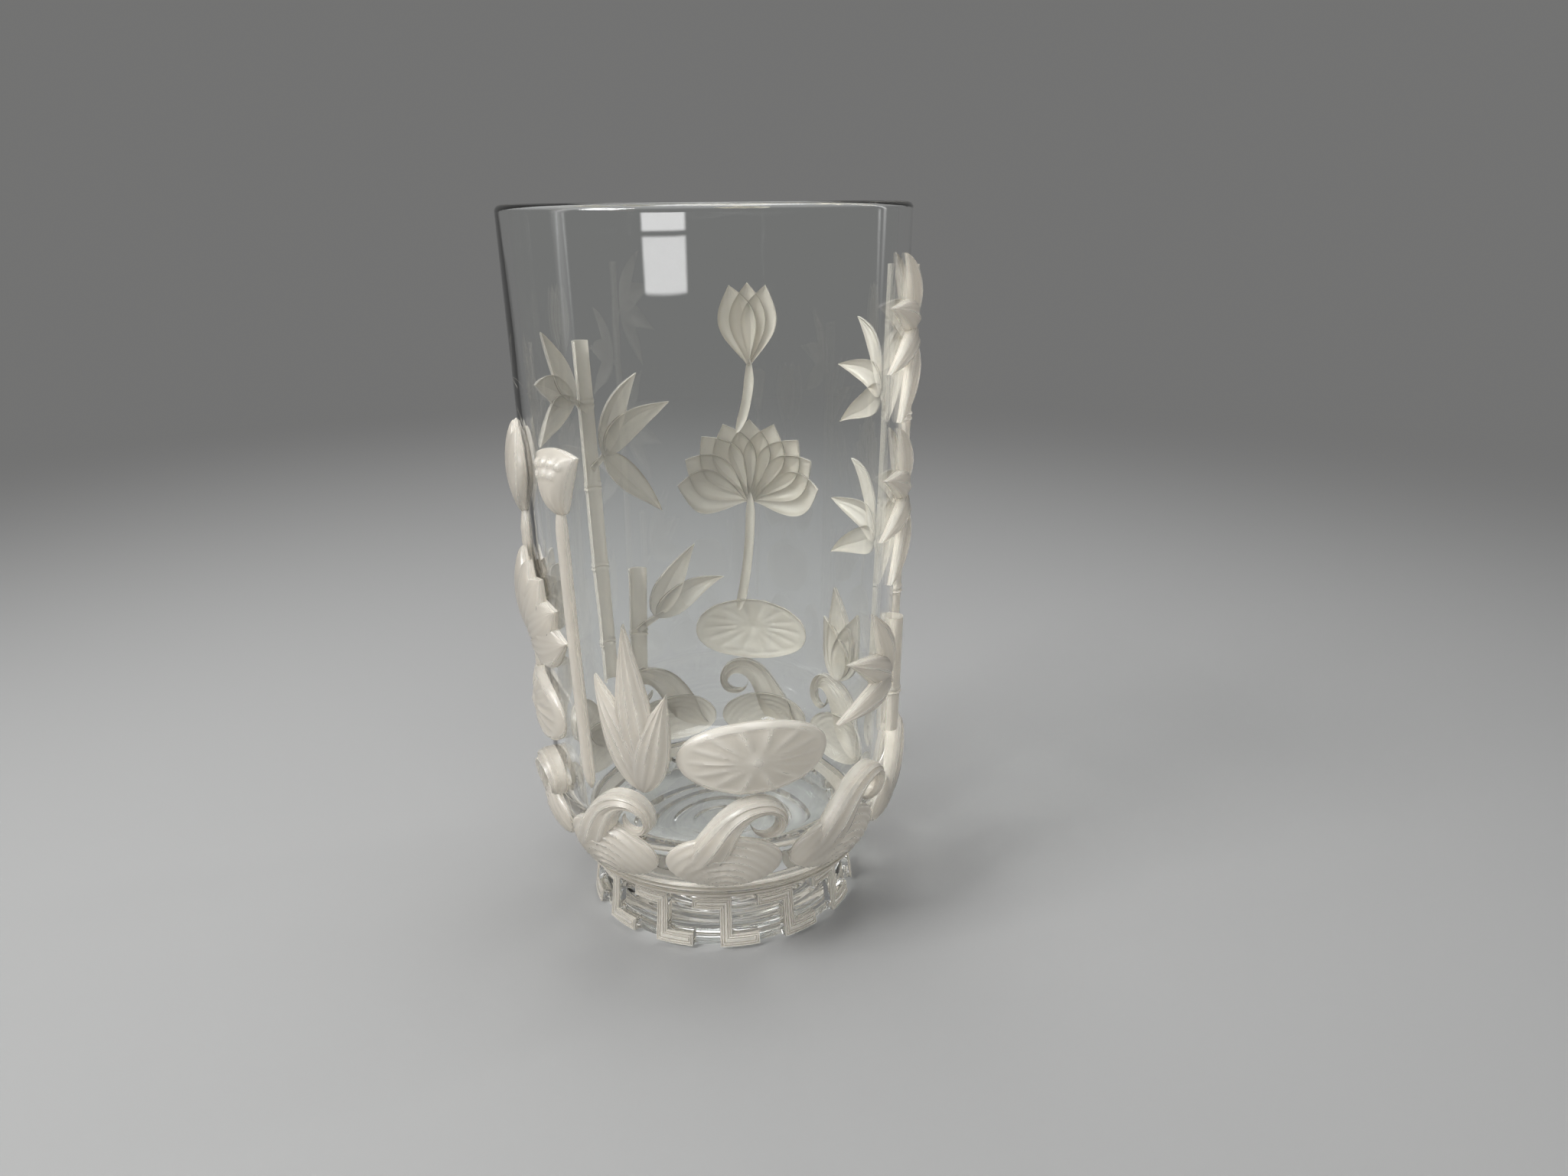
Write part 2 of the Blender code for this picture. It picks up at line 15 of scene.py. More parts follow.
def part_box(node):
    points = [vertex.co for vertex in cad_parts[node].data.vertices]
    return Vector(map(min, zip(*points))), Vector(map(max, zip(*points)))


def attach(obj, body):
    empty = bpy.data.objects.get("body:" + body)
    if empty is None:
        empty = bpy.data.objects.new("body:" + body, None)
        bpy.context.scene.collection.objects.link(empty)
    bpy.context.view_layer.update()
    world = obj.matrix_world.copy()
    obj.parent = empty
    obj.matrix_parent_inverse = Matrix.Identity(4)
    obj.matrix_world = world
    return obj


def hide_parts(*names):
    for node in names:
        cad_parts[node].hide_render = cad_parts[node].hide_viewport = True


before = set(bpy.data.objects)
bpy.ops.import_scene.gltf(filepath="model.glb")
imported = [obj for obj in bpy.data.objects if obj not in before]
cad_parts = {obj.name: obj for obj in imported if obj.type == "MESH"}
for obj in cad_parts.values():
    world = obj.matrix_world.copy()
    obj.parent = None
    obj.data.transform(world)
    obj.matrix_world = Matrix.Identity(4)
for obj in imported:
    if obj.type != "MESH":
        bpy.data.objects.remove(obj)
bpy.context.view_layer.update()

MM = 0.001

# Sizes from the frame
VESSEL_LOW, VESSEL_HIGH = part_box("vessel")
FOOT_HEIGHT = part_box("foot")[1].z
RING_LOW, RING_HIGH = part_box("bowl_edge_ring")
COLLAR_LOW, COLLAR_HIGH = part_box("foot_collar")
FRET_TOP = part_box("fret_hook_01")[1].z
VASE_HEIGHT = VESSEL_HIGH.z
LIP_RADIUS = VESSEL_HIGH.x
UNDERSIDE = VESSEL_LOW.z
RING_RADIUS = RING_HIGH.x
COLLAR_RADIUS = COLLAR_HIGH.x

# Glass body, in the solids' own sizes
JOINT_GAP = 0.3 * MM
LIP_RISE = 2.0 * MM
WALL_THICKNESS = 4.6 * MM
BOWL_RADIUS = 58.0 * MM
BOWL_HEIGHT = 50.0 * MM
BOWL_TURN = math.radians(70.0)
BOWL_FOOT = RING_HIGH.z + JOINT_GAP
FLOOR_THICKNESS = 12.0 * MM
FLOOR = UNDERSIDE + FLOOR_THICKNESS
FLOOR_CORNER = 14.0 * MM
RING_DEPTH = 3.0 * MM
SEAT_RADIUS = RING_RADIUS - RING_DEPTH - JOINT_GAP
FOOT_CHAMFER = 0.6 * MM
HOLLOW_RADIUS = 33.0 * MM
HOLLOW_DEPTH = 3.0 * MM

# Fine forms and smoothness of the glass body
LIP_EDGE = 0.3 * MM
HOLLOW_RINGS = (12.0 * MM, 19.0 * MM, 26.0 * MM)
HOLLOW_RING_WIDTH = 1.5 * MM
HOLLOW_RING_HEIGHT = 0.5 * MM
HOLLOW_STEPS = 64
TURN_STEPS = 144
EVEN_TURNS = [2 * math.pi * step / TURN_STEPS for step in range(TURN_STEPS)]
WIDEST_STEP = math.radians(2.6)
ARC_STEPS = 12
WALL_STEPS = 24
# Ripples of the inside: their count round the wall, their height and where they start, in radians
RIPPLES = ((5, 0.10 * MM, 0.7), (11, 0.05 * MM, 2.1), (18, 0.03 * MM, 4.0))
RIPPLE_FADE = 0.5

# Bead: half heights of its two rolls, as shares of its height, and how far the lower one stands out
BEAD_UPPER_ROLL = 0.3
BEAD_LOWER_ROLL = 0.2
BEAD_LOWER_REACH = 0.82
# Power by which the bead's painted highlight and wear gather towards its outer side
BEAD_GLINT_POWER = 4

# Foot and its key fret, in the solids' own sizes
FOOT_TOP_RADIUS = 45.0 * MM
FOOT_BASE_RADIUS = 47.1 * MM
FOOT_FLARE = 1.8
FRET_COUNT = 13
FRET_PITCH = 2 * math.pi / FRET_COUNT
FRET_DEPTH = 2.6 * MM
FRET_LIFT = 0.6 * MM
FRET_BAR = 4.6 * MM
FRET_UPPER_ARM = 9.4 * MM
FRET_LOWER_ARM = 9.2 * MM
FRET_UPPER_HEIGHT = 4.8 * MM
FRET_LOWER_HEIGHT = 5.0 * MM
COLLAR_EDGE = 0.6 * MM

# Frosted skins of the fret and the collar, and the clear hooks under them
COLLAR_SKIN = 0.5 * MM
FRET_SKIN = 0.45 * MM
FRET_PIECE = 1.5 * MM
FRET_BEVEL = 0.35 * MM
# Share of the bevel that a place has to lie inside a hook's outline to be raised
BEVEL_SHARE = 0.98
# Section of the frosted ribbon from its edge to its middle: inset and rise, in mm
FRET_RIBBON = ((0.35, -0.2), (0.35, 0.1), (0.45, 0.4), (0.75, 0.4), (0.85, 0.05), (1.1, 0.05),
               (1.2, 0.4), (1.5, 0.4), (1.6, 0.05), (1.85, 0.05), (1.95, 0.4))
# Rise, in mm, above which the ribbon is painted bright: wear, and a painted highlight on its raised lines
FRET_CREST = 0.3

# Relief, in the solids' own sizes
EDGE = 0.6 * MM
LAYER = 0.25 * MM
ROD_AXIS = 0.6 * MM
TRAIL_PIECES = 24
LEAF_FULLNESS = 0.66
PETAL_FULLNESS = 1.2
CROWN_FULLNESS = 0.6
LEAF_LENGTH = 33.0 * MM
LEAF_WIDTH = 10.2 * MM
LEAF_CROWN = 3.6 * MM
LEAF_BEND = math.radians(22.0)
SPRAY_STANDOFF = 1.0 * MM
CANE_RADIUS = 3.4 * MM
CANE_SWELL = 0.6 * MM
CANE_NODE = 1.4 * MM
CANE_PITCH = 30.0 * MM
STEM_RADIUS = 2.0 * MM
PETAL_LENGTH = 30.0 * MM
PETAL_WIDTH = 17.0 * MM
PETAL_CROWN = 4.2 * MM
PETAL_SETOUT = 1.5 * MM
BUD_WIDTH = 14.5 * MM
POD_WIDTH = 20.0 * MM
POD_CROWN = 6.0 * MM
POD_NECK = 0.28
POD_FOOT_ROUND = 0.06
POD_TOP_ROUND = 0.1
PAD_LENGTH = 48.0 * MM
PAD_WIDTH = 24.0 * MM
PAD_CROWN = 4.2 * MM
REED_LENGTH = 50.0 * MM
REED_WIDTH = 12.5 * MM
REED_CROWN = 4.0 * MM
# Share of its heading by which a reed bends further over
REED_BEND = 0.5
WAVE_COUNT = 9
WAVE_LENGTH = 62.0 * MM
WAVE_WIDTH = 18.0 * MM
WAVE_CROWN = 5.4 * MM
WAVE_SETBACK = 14.5 * MM
WAVE_FOOT = 6.0 * MM
WAVE_RUN = math.radians(70.0)
WAVE_CLIMB = math.radians(55.0)
WAVE_CLIMB_END = 0.85
WAVE_CURL = math.radians(290.0)
WAVE_CURL_DELAY = 3.0
WAVE_FULL_AT = 0.3
WAVE_TAPER = 1.2
SWELL_LENGTH = 37.0 * MM
SWELL_WIDTH = 20.0 * MM
SWELL_CROWN = 4.0 * MM
RIGHTWARD = math.radians(90.0)

# Ends and lean of the stems, and the twigs that carry the sprays
STEM_SEAT = 5.0 * MM
STEM_REACH = 5.0 * MM
STEM_TAPER = 8.0 * MM
STEM_LEAN_POWER = 2
TWIG_WIDTH = 2.6 * MM
TWIG_CROWN = 2.2 * MM
TWIG_DROP = 4.0 * MM
TWIG_REACH = 3.0 * MM
TWIG_TAPER = 0.4

# Skins of the relief: depth in the wall, thickness, nearness at which points join, and smoothness
SEAT_DEPTH = 0.2 * MM
SKIN = 1.1 * MM
MERGE = 0.001 * MM
SHARP_ANGLE = math.radians(50.0)
# Steps along and across a skin of each kind
WAVE_GRID = (72, 16)
SWELL_GRID = (48, 32)
LEAF_GRID = (28, 16)
TWIG_GRID = (16, 8)
PAD_GRID = (72, 48)
PETAL_GRID = (28, 20)
POD_GRID = (40, 36)
STEM_GRID = (32, 10)
REED_GRID = (36, 20)
CANE_STEP = 0.6 * MM
CANE_SIDES = 12

# Places of the motifs: degrees round the wall, and headings in degrees from upright
CANES = {
    "right_tall": {"angle": 94.0, "lean": -3.0},
    "right_short": {"angle": 77.0, "lean": -2.0},
    "back_tall": {"angle": 228.0, "lean": 2.0},
    "back_short": {"angle": 213.0, "lean": -2.0},
}
SPRAYS = {
    "right_foot": {"cane": "right_short", "side": -1, "headings": (20, 52, 86)},
    "right_middle": {"cane": "right_tall", "side": -1, "headings": (26, 58, 92, 126)},
    "right_upper": {"cane": "right_tall", "side": -1, "headings": (30, 62, 96, 130)},
    "right_lower": {"cane": "right_tall", "side": 1, "headings": (30, 64, 100)},
    "right_outer": {"cane": "right_tall", "side": 1, "headings": (34, 68, 104)},
    "back_lower": {"cane": "back_short", "side": -1, "headings": (22, 54)},
    "back_middle": {"cane": "back_tall", "side": -1, "headings": (20, 48, 126)},
    "back_upper": {"cane": "back_tall", "side": 1, "headings": (28, 62, 98)},
}
PADS = {"pad_left": -80.0, "pad_back": 166.0, "pad_front": 10.0}
HEADS = {
    "blossom_left": {"angle": -80.0, "lean": -1.0},
    "bud_left": {"angle": -80.0, "lean": -1.0},
    "pod_left": {"angle": -47.0, "lean": 2.0},
    "blossom_back": {"angle": 166.0, "lean": 4.0},
    "bud_back": {"angle": 166.0, "lean": 3.0},
}
PETALS = {
    "blossom": {"headings": (-76, 77, -56, 58, -38, 37, -18, 20, 1), "width": PETAL_WIDTH},
    "bud": {"headings": (-13, 14, 1), "width": BUD_WIDTH},
}
# Reeds' lengths are shares of REED_LENGTH
REEDS = {
    "front": {"angle": -24.0, "headings": (-18, -3, 12), "lengths": (0.8, 1.1, 0.7)},
    "back": {"angle": 122.0, "headings": (-14, 4, 18), "lengths": (0.6, 0.72, 0.5)},
}

# Fine forms on the relief. A count is of half waves from the middle of a leaf to its edge, or of veins
# round a pad. A glint is how bright a form's crest is painted, up to 1: partly wear, partly a painted
# highlight. What has no MM is a share or a power
RIB_HEIGHT = 0.7 * MM
VEIN_HEIGHT = 0.28 * MM
EDGE_GLINT_WIDTH = 0.14
LEAF_FOLD = 0.5 * MM
LEAF_RIB_WIDTH = 0.12
LEAF_EDGE_WIDTH = 0.12
LEAF_VEINS = 7
LEAF_VEIN_GLINT = 0.4
TWIG_GLINT_WIDTH = 0.3
PETAL_BORDER = 0.84
PETAL_BORDER_WIDTH = 0.09
PETAL_BORDER_HEIGHT = 0.5 * MM
PETAL_RIBS = 6
PETAL_RIB_HEIGHT = 0.448 * MM
PETAL_RIB_REACH = 0.75
PETAL_RIB_FADE = 4
PETAL_RIB_GLINT = 0.5
REED_RIBS = 4
REED_RIB_GLINT = 0.8
PAD_VEINS = 14
PAD_VEIN_SHARPNESS = 3
PAD_VEIN_FULL_AT = 0.5
PAD_VEIN_GLINT = 0.8
PAD_BOSS = 2.2 * MM
PAD_BOSS_HEIGHT = 1.05 * MM
PAD_RIM = 0.9
PAD_RIM_WIDTH = 0.07
PAD_RIM_HEIGHT = 0.8 * MM
POD_RIBS = 5
POD_RIB_END = 0.55
POD_RIB_GLINT = 0.6
# Seeds' places: across, as a share of the pod's half width there, and along it
SEEDS = ((-0.55, 0.80), (-0.18, 0.83), (0.18, 0.83), (0.55, 0.80),
         (-0.36, 0.66), (0.0, 0.68), (0.36, 0.66))
SEED_RADIUS = 1.5 * MM
SEED_HEIGHT = 0.9 * MM
WAVE_RIBS = 3
WAVE_RIB_HEIGHT = 1.0 * MM
SWELL_RIB_PITCH = 2.6 * MM
SWELL_RIB_HEIGHT = 0.8 * MM
SWELL_RIB_GLINT = 0.8
CANE_RING_WIDTH = 0.5 * MM
CANE_GROOVE_WIDTH = 0.4 * MM
CANE_GROOVE_DEPTH = 0.5
CANE_GLINT = 0.4
CANE_GLINT_WIDTH = 0.2
STEM_GLINT = 0.5
STEM_GLINT_WIDTH = 0.3

# Glass. Noises are a scale and a detail, with a density along each axis, and bumps a strength and a depth
GLASS_IOR = 1.5
CLEAR_COLOUR = (0.985, 0.995, 0.99)
CLEAR_SHADOW = (0.88, 0.885, 0.88)
CLEAR_WAVES = (40.0, 2.0, (1.0, 1.0, 0.35))
CLEAR_BUMP = (0.08, 1.0 * MM)
FROST_TRANSMISSION = 0.64
FROST_DARK = (0.80, 0.75, 0.665)
FROST_PALE = (0.90, 0.85, 0.765)
# Colour of crests and edges: partly wear, partly a painted highlight
FROST_WORN_HIGHLIGHT = (1.0, 0.96, 0.88)
FROST_ROUGHNESS = 0.42
WORN_ROUGHNESS = 0.2
FROST_CLOUDS = (90.0, 3.0)
FROST_GRAIN = (3500.0, 2.0)
FROST_BUMP = (0.25, 0.2 * MM)

# Photograph's camera: pixels of a 2049 x 1537 frame, millimetres of the sensor, metres and angles
PHOTO_WIDTH = 2049
FOCAL_PIXELS = 1540.0
SENSOR_WIDTH = 36.0
CAMERA_PLACE = Vector((0.0, -0.3809, 0.2365))
CAMERA_YAW = math.radians(3.45)
CAMERA_TILT = math.radians(18.31)
CAMERA_ROLL = math.radians(-0.53)
CLIP_START = 0.01

# Studio: a floor that fades into the background between two distances from the vase
GROUND_RADIUS = 4.0
GROUND_SEGMENTS = 96
GROUND_DROP = 0.2 * MM
GROUND_COLOUR = (0.32, 0.32, 0.316)
GROUND_ROUGHNESS = 0.9
GROUND_GLOSS = 0.1
FADE_START = 0.22
FADE_END = 1.1
BACKGROUND = (0.17, 0.17, 0.168)
WORLD_FILL = (0.20, 0.205, 0.215)
KEY_PLACE = (-0.8, -0.45, 0.9)
KEY_SIZE = 0.45
KEY_WATTS = 13.0
OVERHEAD_PLACE = (0.1, 0.2, 1.2)
OVERHEAD_SIZE = 0.6
OVERHEAD_WATTS = 6.0
# Fills that light the relief without showing in the glass: their names, places and watts
FILLS = (("front_fill", (0.35, -1.3, 0.45), 8.5), ("back_fill", (-0.4, 1.3, 0.6), 5.0))
FILL_SIZE = 0.8
# Tall soft strips that the sides of the glass reflect: their names, places, widths, watts and whether
# they also show through the glass
STRIPS = (("right_strip", (0.75, 0.25, 0.6), 0.09, 2.6, True),
          ("left_strip", (-0.75, -0.12, 0.5), 0.2, 2.8, False))
STRIP_HEIGHT = 1.4
STRIP_SOFTNESS = 1.0
# Window that the front of the glass reflects. Its panes: name, height of the middle, own height, watts
WINDOW_PLACE = (-0.1375, -0.3695)
WINDOW_WIDTH = 0.16
WINDOW_PANES = (("window_upper_pane", 0.2202, 0.0335, 0.205), ("window_lower_pane", 0.1845, 0.035, 0.2))
PANE_SOFTNESS = 0.2
# Middle of a lamp's face, whose own coordinates run from 0 to 1
FACE_MIDDLE = 0.5
BOUNCES = 24
GLOSSY_BOUNCES = 8


def wall_radius(height):
    """Outer radius of the vessel: a straight taper above an elliptical bowl."""
    if height >= BOWL_HEIGHT:
        share = (height - BOWL_HEIGHT) / (VASE_HEIGHT - LIP_RISE - BOWL_HEIGHT)
        return BOWL_RADIUS + (LIP_RADIUS - BOWL_RADIUS) * share
    depth, drop = bowl_radii()
    sine = min((BOWL_HEIGHT - height) / drop, 1.0)
    return BOWL_RADIUS - depth * (1.0 - math.sqrt(1.0 - sine * sine))


def bowl_radii():
    """Radii of the ellipse that leads from the straight wall down to the bead."""
    depth = (BOWL_RADIUS - RING_RADIUS) / (1.0 - math.cos(BOWL_TURN))
    drop = (BOWL_HEIGHT - BOWL_FOOT) / math.sin(BOWL_TURN)
    return depth, drop


def on_wall(across, height, out):
    """Point that lies across from the front line, at a height, out from the wall."""
    radius = wall_radius(height)
    angle = across / radius
    return Vector(((radius + out) * math.sin(angle), -(radius + out) * math.cos(angle), height))


def fret_radius(height):
    """Radius of the fret's face, flaring towards the base."""
    drop = max(1.0 - height / FOOT_HEIGHT, 0.0)
    return FOOT_TOP_RADIUS + (FOOT_BASE_RADIUS - FOOT_TOP_RADIUS) * drop ** FOOT_FLARE


def fret_reach():
    """Radius at the fret's middle height, where distances across a hook are measured."""
    return fret_radius(FRET_TOP / 2)


def core_radius(height):
    """Radius of the foot's side behind the fret."""
    return fret_radius(height) - FRET_DEPTH - JOINT_GAP


def link(nodes, source, target):
    nodes.id_data.links.new(source, target)


def new_material(name):
    material = bpy.data.materials.new(name)
    material.use_nodes = True
    nodes = material.node_tree.nodes
    return material, nodes, nodes["Principled BSDF"]


def noise(nodes, scale, detail, density=(1.0, 1.0, 1.0)):
    """Noise in the object's own metres. A density under 1 draws it out along that axis."""
    place = nodes.new("ShaderNodeTexCoord")
    mapping = nodes.new("ShaderNodeMapping")
    mapping.inputs["Scale"].default_value = density
    texture = nodes.new("ShaderNodeTexNoise")
    texture.inputs["Scale"].default_value = scale
    texture.inputs["Detail"].default_value = detail
    link(nodes, place.outputs["Object"], mapping.inputs["Vector"])
    link(nodes, mapping.outputs["Vector"], texture.inputs["Vector"])
    return texture.outputs["Fac"]


def bump(nodes, height, strength, distance, shader):
    node = nodes.new("ShaderNodeBump")
    node.inputs["Strength"].default_value = strength
    node.inputs["Distance"].default_value = distance
    link(nodes, height, node.inputs["Height"])
    link(nodes, node.outputs["Normal"], shader.inputs["Normal"])


def colour_mix(nodes, factor):
    """Node that goes from its colour A to its colour B as a factor goes from 0 to 1."""
    node = nodes.new("ShaderNodeMix")
    node.data_type = "RGBA"
    link(nodes, factor, node.inputs["Factor"])
    return node


def smooth_step(nodes, value, start, end):
    """Share that goes smoothly from 0 to 1 as a value goes from start to end."""
    node = nodes.new("ShaderNodeMapRange")
    node.interpolation_type = "SMOOTHSTEP"
    node.inputs["From Min"].default_value = start
    node.inputs["From Max"].default_value = end
    link(nodes, value, node.inputs["Value"])
    return node.outputs["Result"]


def mix_surfaces(nodes, factor, first, second):
    """Let the surface go from a first shader to a second one as a factor goes from 0 to 1."""
    mix = nodes.new("ShaderNodeMixShader")
    link(nodes, factor, mix.inputs["Fac"])
    link(nodes, first, mix.inputs[1])
    link(nodes, second, mix.inputs[2])
    link(nodes, mix.outputs["Shader"], nodes["Material Output"].inputs["Surface"])


def clear_glass():
    """Polished colourless glass. It lets lamp light through, so that the shadow stays pale."""
    material, nodes, shader = new_material("clear_glass_look")
    shader.inputs["Base Color"].default_value = (*CLEAR_COLOUR, 1.0)
    shader.inputs["Roughness"].default_value = 0.0
    shader.inputs["IOR"].default_value = GLASS_IOR
    shader.inputs["Transmission Weight"].default_value = 1.0
    bump(nodes, noise(nodes, *CLEAR_WAVES), *CLEAR_BUMP, shader)
    path = nodes.new("ShaderNodeLightPath")
    gap = nodes.new("ShaderNodeBsdfTransparent")
    gap.inputs["Color"].default_value = (*CLEAR_SHADOW, 1.0)
    mix_surfaces(nodes, path.outputs["Is Shadow Ray"], shader.outputs["BSDF"], gap.outputs["BSDF"])
    return material


def frosted_glass():
    """Satin acid-etched glass: warm white and fine-grained, brighter and smoother where it is worn. The
    brightness on crests and edges is partly a painted highlight.
    """
    material, nodes, shader = new_material("frosted_glass_look")
    shader.inputs["IOR"].default_value = GLASS_IOR
    shader.inputs["Transmission Weight"].default_value = FROST_TRANSMISSION
    crest = nodes.new("ShaderNodeAttribute")
    crest.attribute_name = "crest"
    cloud = colour_mix(nodes, noise(nodes, *FROST_CLOUDS))
    cloud.inputs["A"].default_value = (*FROST_DARK, 1.0)
    cloud.inputs["B"].default_value = (*FROST_PALE, 1.0)
    # Lighter towards crests and edges: partly wear, partly a painted highlight, which leaves flats and
    # grooves darker as painted shade
    worn_and_highlit = colour_mix(nodes, crest.outputs["Fac"])
    worn_and_highlit.inputs["B"].default_value = (*FROST_WORN_HIGHLIGHT, 1.0)
    link(nodes, cloud.outputs["Result"], worn_and_highlit.inputs["A"])
    link(nodes, worn_and_highlit.outputs["Result"], shader.inputs["Base Color"])
    rough = nodes.new("ShaderNodeMapRange")
    rough.inputs["To Min"].default_value = FROST_ROUGHNESS
    rough.inputs["To Max"].default_value = WORN_ROUGHNESS
    link(nodes, crest.outputs["Fac"], rough.inputs["Value"])
    link(nodes, rough.outputs["Result"], shader.inputs["Roughness"])
    bump(nodes, noise(nodes, *FROST_GRAIN), *FROST_BUMP, shader)
    return material


def add_object(name, data):
    """New object in the scene."""
    item = bpy.data.objects.new(name, data)
    bpy.context.scene.collection.objects.link(item)
    return item


def add_mesh(name, bm, material):
    """New object with a mesh of one material."""
    mesh = bpy.data.meshes.new(name)
    bm.to_mesh(mesh)
    bm.free()
    mesh.materials.append(material)
    return add_object(name, mesh)


def new_bmesh():
    """Mesh whose points can carry how bright their colour is painted, from 0 to 1: partly wear, partly a
    painted highlight on crests and edges.
    """
    bm = bmesh.new()
    bm.verts.layers.float.new("crest")
    return bm


def add_piece(name, bm, material, nodes, angle=0.0):
    """Make a piece of a mesh shaped at the front, turn it to its place and let it stand for CAD nodes."""
    bmesh.ops.recalc_face_normals(bm, faces=bm.faces)
    bm.transform(Matrix.Rotation(math.radians(angle), 4, "Z"))
    piece = add_mesh(name, bm, material)
    piece.data.shade_smooth()
    piece.data.set_sharp_from_angle(angle=SHARP_ANGLE)
    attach(piece, "root")
    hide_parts(*nodes)


def add_frosted(node, bm, angle=0.0):
    """Frosted piece that stands for one CAD node."""
    add_piece("frosted_" + node, bm, frosted, [node], angle)


def arc(center, radii, start, end, steps=ARC_STEPS):
    """Points of an elliptical arc in the (radius, height) plane, angles in degrees."""
    points = []
    for step in range(steps + 1):
        turn = math.radians(start + (end - start) * step / steps)
        points.append((center[0] + radii[0] * math.cos(turn), center[1] + radii[1] * math.sin(turn)))
    return points


def line(start, end, steps):
    """Points between two ends of a straight stretch, without the ends."""
    return [(start[0] + (end[0] - start[0]) * step / steps, start[1] + (end[1] - start[1]) * step / steps)
            for step in range(1, steps)]


def add_turned(bm, profile, turns, shift=None):
    """Rings of points turned about Z from a profile; a place on the axis is one point."""
    rings = []
    for radius, height in profile:
        if radius < MERGE:
            rings.append([bm.verts.new((0.0, 0.0, height))] * len(turns))
            continue
        ring = []
        for turn in turns:
            reach = radius + (shift(turn, radius, height) if shift else 0.0)
            ring.append(bm.verts.new((reach * math.sin(turn), -reach * math.cos(turn), height)))
        rings.append(ring)
    return rings


def add_bands(bm, rings):
    """Faces between rings that follow each other, with triangles round a single point."""
    for first, second in zip(rings, rings[1:]):
        for place in range(len(first)):
            corners = [first[place - 1], first[place], second[place], second[place - 1]]
            bm.faces.new(list(dict.fromkeys(corners)))


def add_bridge(bm, upper, upper_turns, lower, lower_turns):
    """Triangles between two rings whose points lie at different angles."""
    upper_turns = upper_turns + [upper_turns[0] + 2 * math.pi]
    lower_turns = lower_turns + [lower_turns[0] + 2 * math.pi]
    above = 0
    below = 0
    while above < len(upper) or below < len(lower):
        here = upper[above % len(upper)]
        under = lower[below % len(lower)]
        if below == len(lower) or above < len(upper) and upper_turns[above + 1] <= lower_turns[below + 1]:
            above += 1
            bm.faces.new((here, under, upper[above % len(upper)]))
        else:
            below += 1
            bm.faces.new((here, under, lower[below % len(lower)]))


def fret_edges():
    """Upright edges of one hook, across from its middle: upper arm's end, bar, lower arm's end."""
    half = FRET_BAR / 2
    return -half - FRET_UPPER_ARM, -half, half, half + FRET_LOWER_ARM


def fret_rows():
    """Level edges of a hook: foot, top of the lower arm, underside of the upper arm, top."""
    return FRET_LIFT, FRET_LIFT + FRET_LOWER_HEIGHT, FRET_TOP - FRET_UPPER_HEIGHT, FRET_TOP


def fret_turns():
    """Angles of the foot's upright lines: both edges of each bevel of the fret, and even ones between."""
    left, bar_left, bar_right, right = fret_edges()
    edges = (left, left + FRET_BEVEL, bar_left, bar_left + FRET_BEVEL,
             bar_right - FRET_BEVEL, bar_right, right - FRET_BEVEL, right)
    marks = sorted(edge / fret_reach() % FRET_PITCH for edge in edges)
    turns = []
    for mark, after in zip(marks, marks[1:] + [marks[0] + FRET_PITCH]):
        count = math.ceil((after - mark) / WIDEST_STEP)
        turns += [mark + (after - mark) * step / count for step in range(count)]
    return [turn + FRET_PITCH * index for index in range(FRET_COUNT) for turn in turns]


def on_hook(turn, height):
    """Whether a place on the foot's side lies within a hook's outline."""
    left, bar_left, bar_right, right = fret_edges()
    foot, shelf, step, top = fret_rows()
    for index in (-1, 0, 1):
        across = (turn % FRET_PITCH + index * FRET_PITCH) * fret_reach()
        in_bar = bar_left <= across <= bar_right and foot <= height <= top
        in_upper_arm = left <= across <= bar_left and step <= height <= top
        in_lower_arm = bar_right <= across <= right and foot <= height <= shelf
        if in_bar or in_upper_arm or in_lower_arm:
            return True
    return False


def body_shift(turn, radius, height):
    """Unevenness of the moulded inside, which draws soft upright streaks, and the fret's raised hooks."""
    start = FLOOR + FLOOR_CORNER
    share = (height - start) / (VASE_HEIGHT - start)
    if 0.0 < share < 1.0 and radius < wall_radius(height) - WALL_THICKNESS / 2:
        fade = math.sin(math.pi * share) ** RIPPLE_FADE
        return fade * sum(size * math.sin(count * turn + phase) for count, size, phase in RIPPLES)
    if height > FRET_TOP - FRET_BEVEL / 2 or height < FRET_LIFT or radius < core_radius(height) - MERGE:
        return 0.0
    margin = BEVEL_SHARE * FRET_BEVEL
    turn_margin = margin / fret_reach()
    raised = all(on_hook(turn + turn_side * turn_margin, height + side * margin)
                 for turn_side in (-1, 1) for side in (-1, 1))
    return FRET_DEPTH + JOINT_GAP - FRET_SKIN if raised else 0.0


def hollow():
    """Profile of the hollow under the foot: a shallow dome with low round rings, one inside the other."""
    points = []
    for radius, height in arc((0.0, 0.0), (HOLLOW_RADIUS, HOLLOW_DEPTH), 0, 90, HOLLOW_STEPS)[:-1]:
        rings = sum(ridge(radius - ring, HOLLOW_RING_WIDTH) for ring in HOLLOW_RINGS)
        points.append((radius, height - HOLLOW_RING_HEIGHT * rings))
    return points + [(0.0, HOLLOW_DEPTH)]


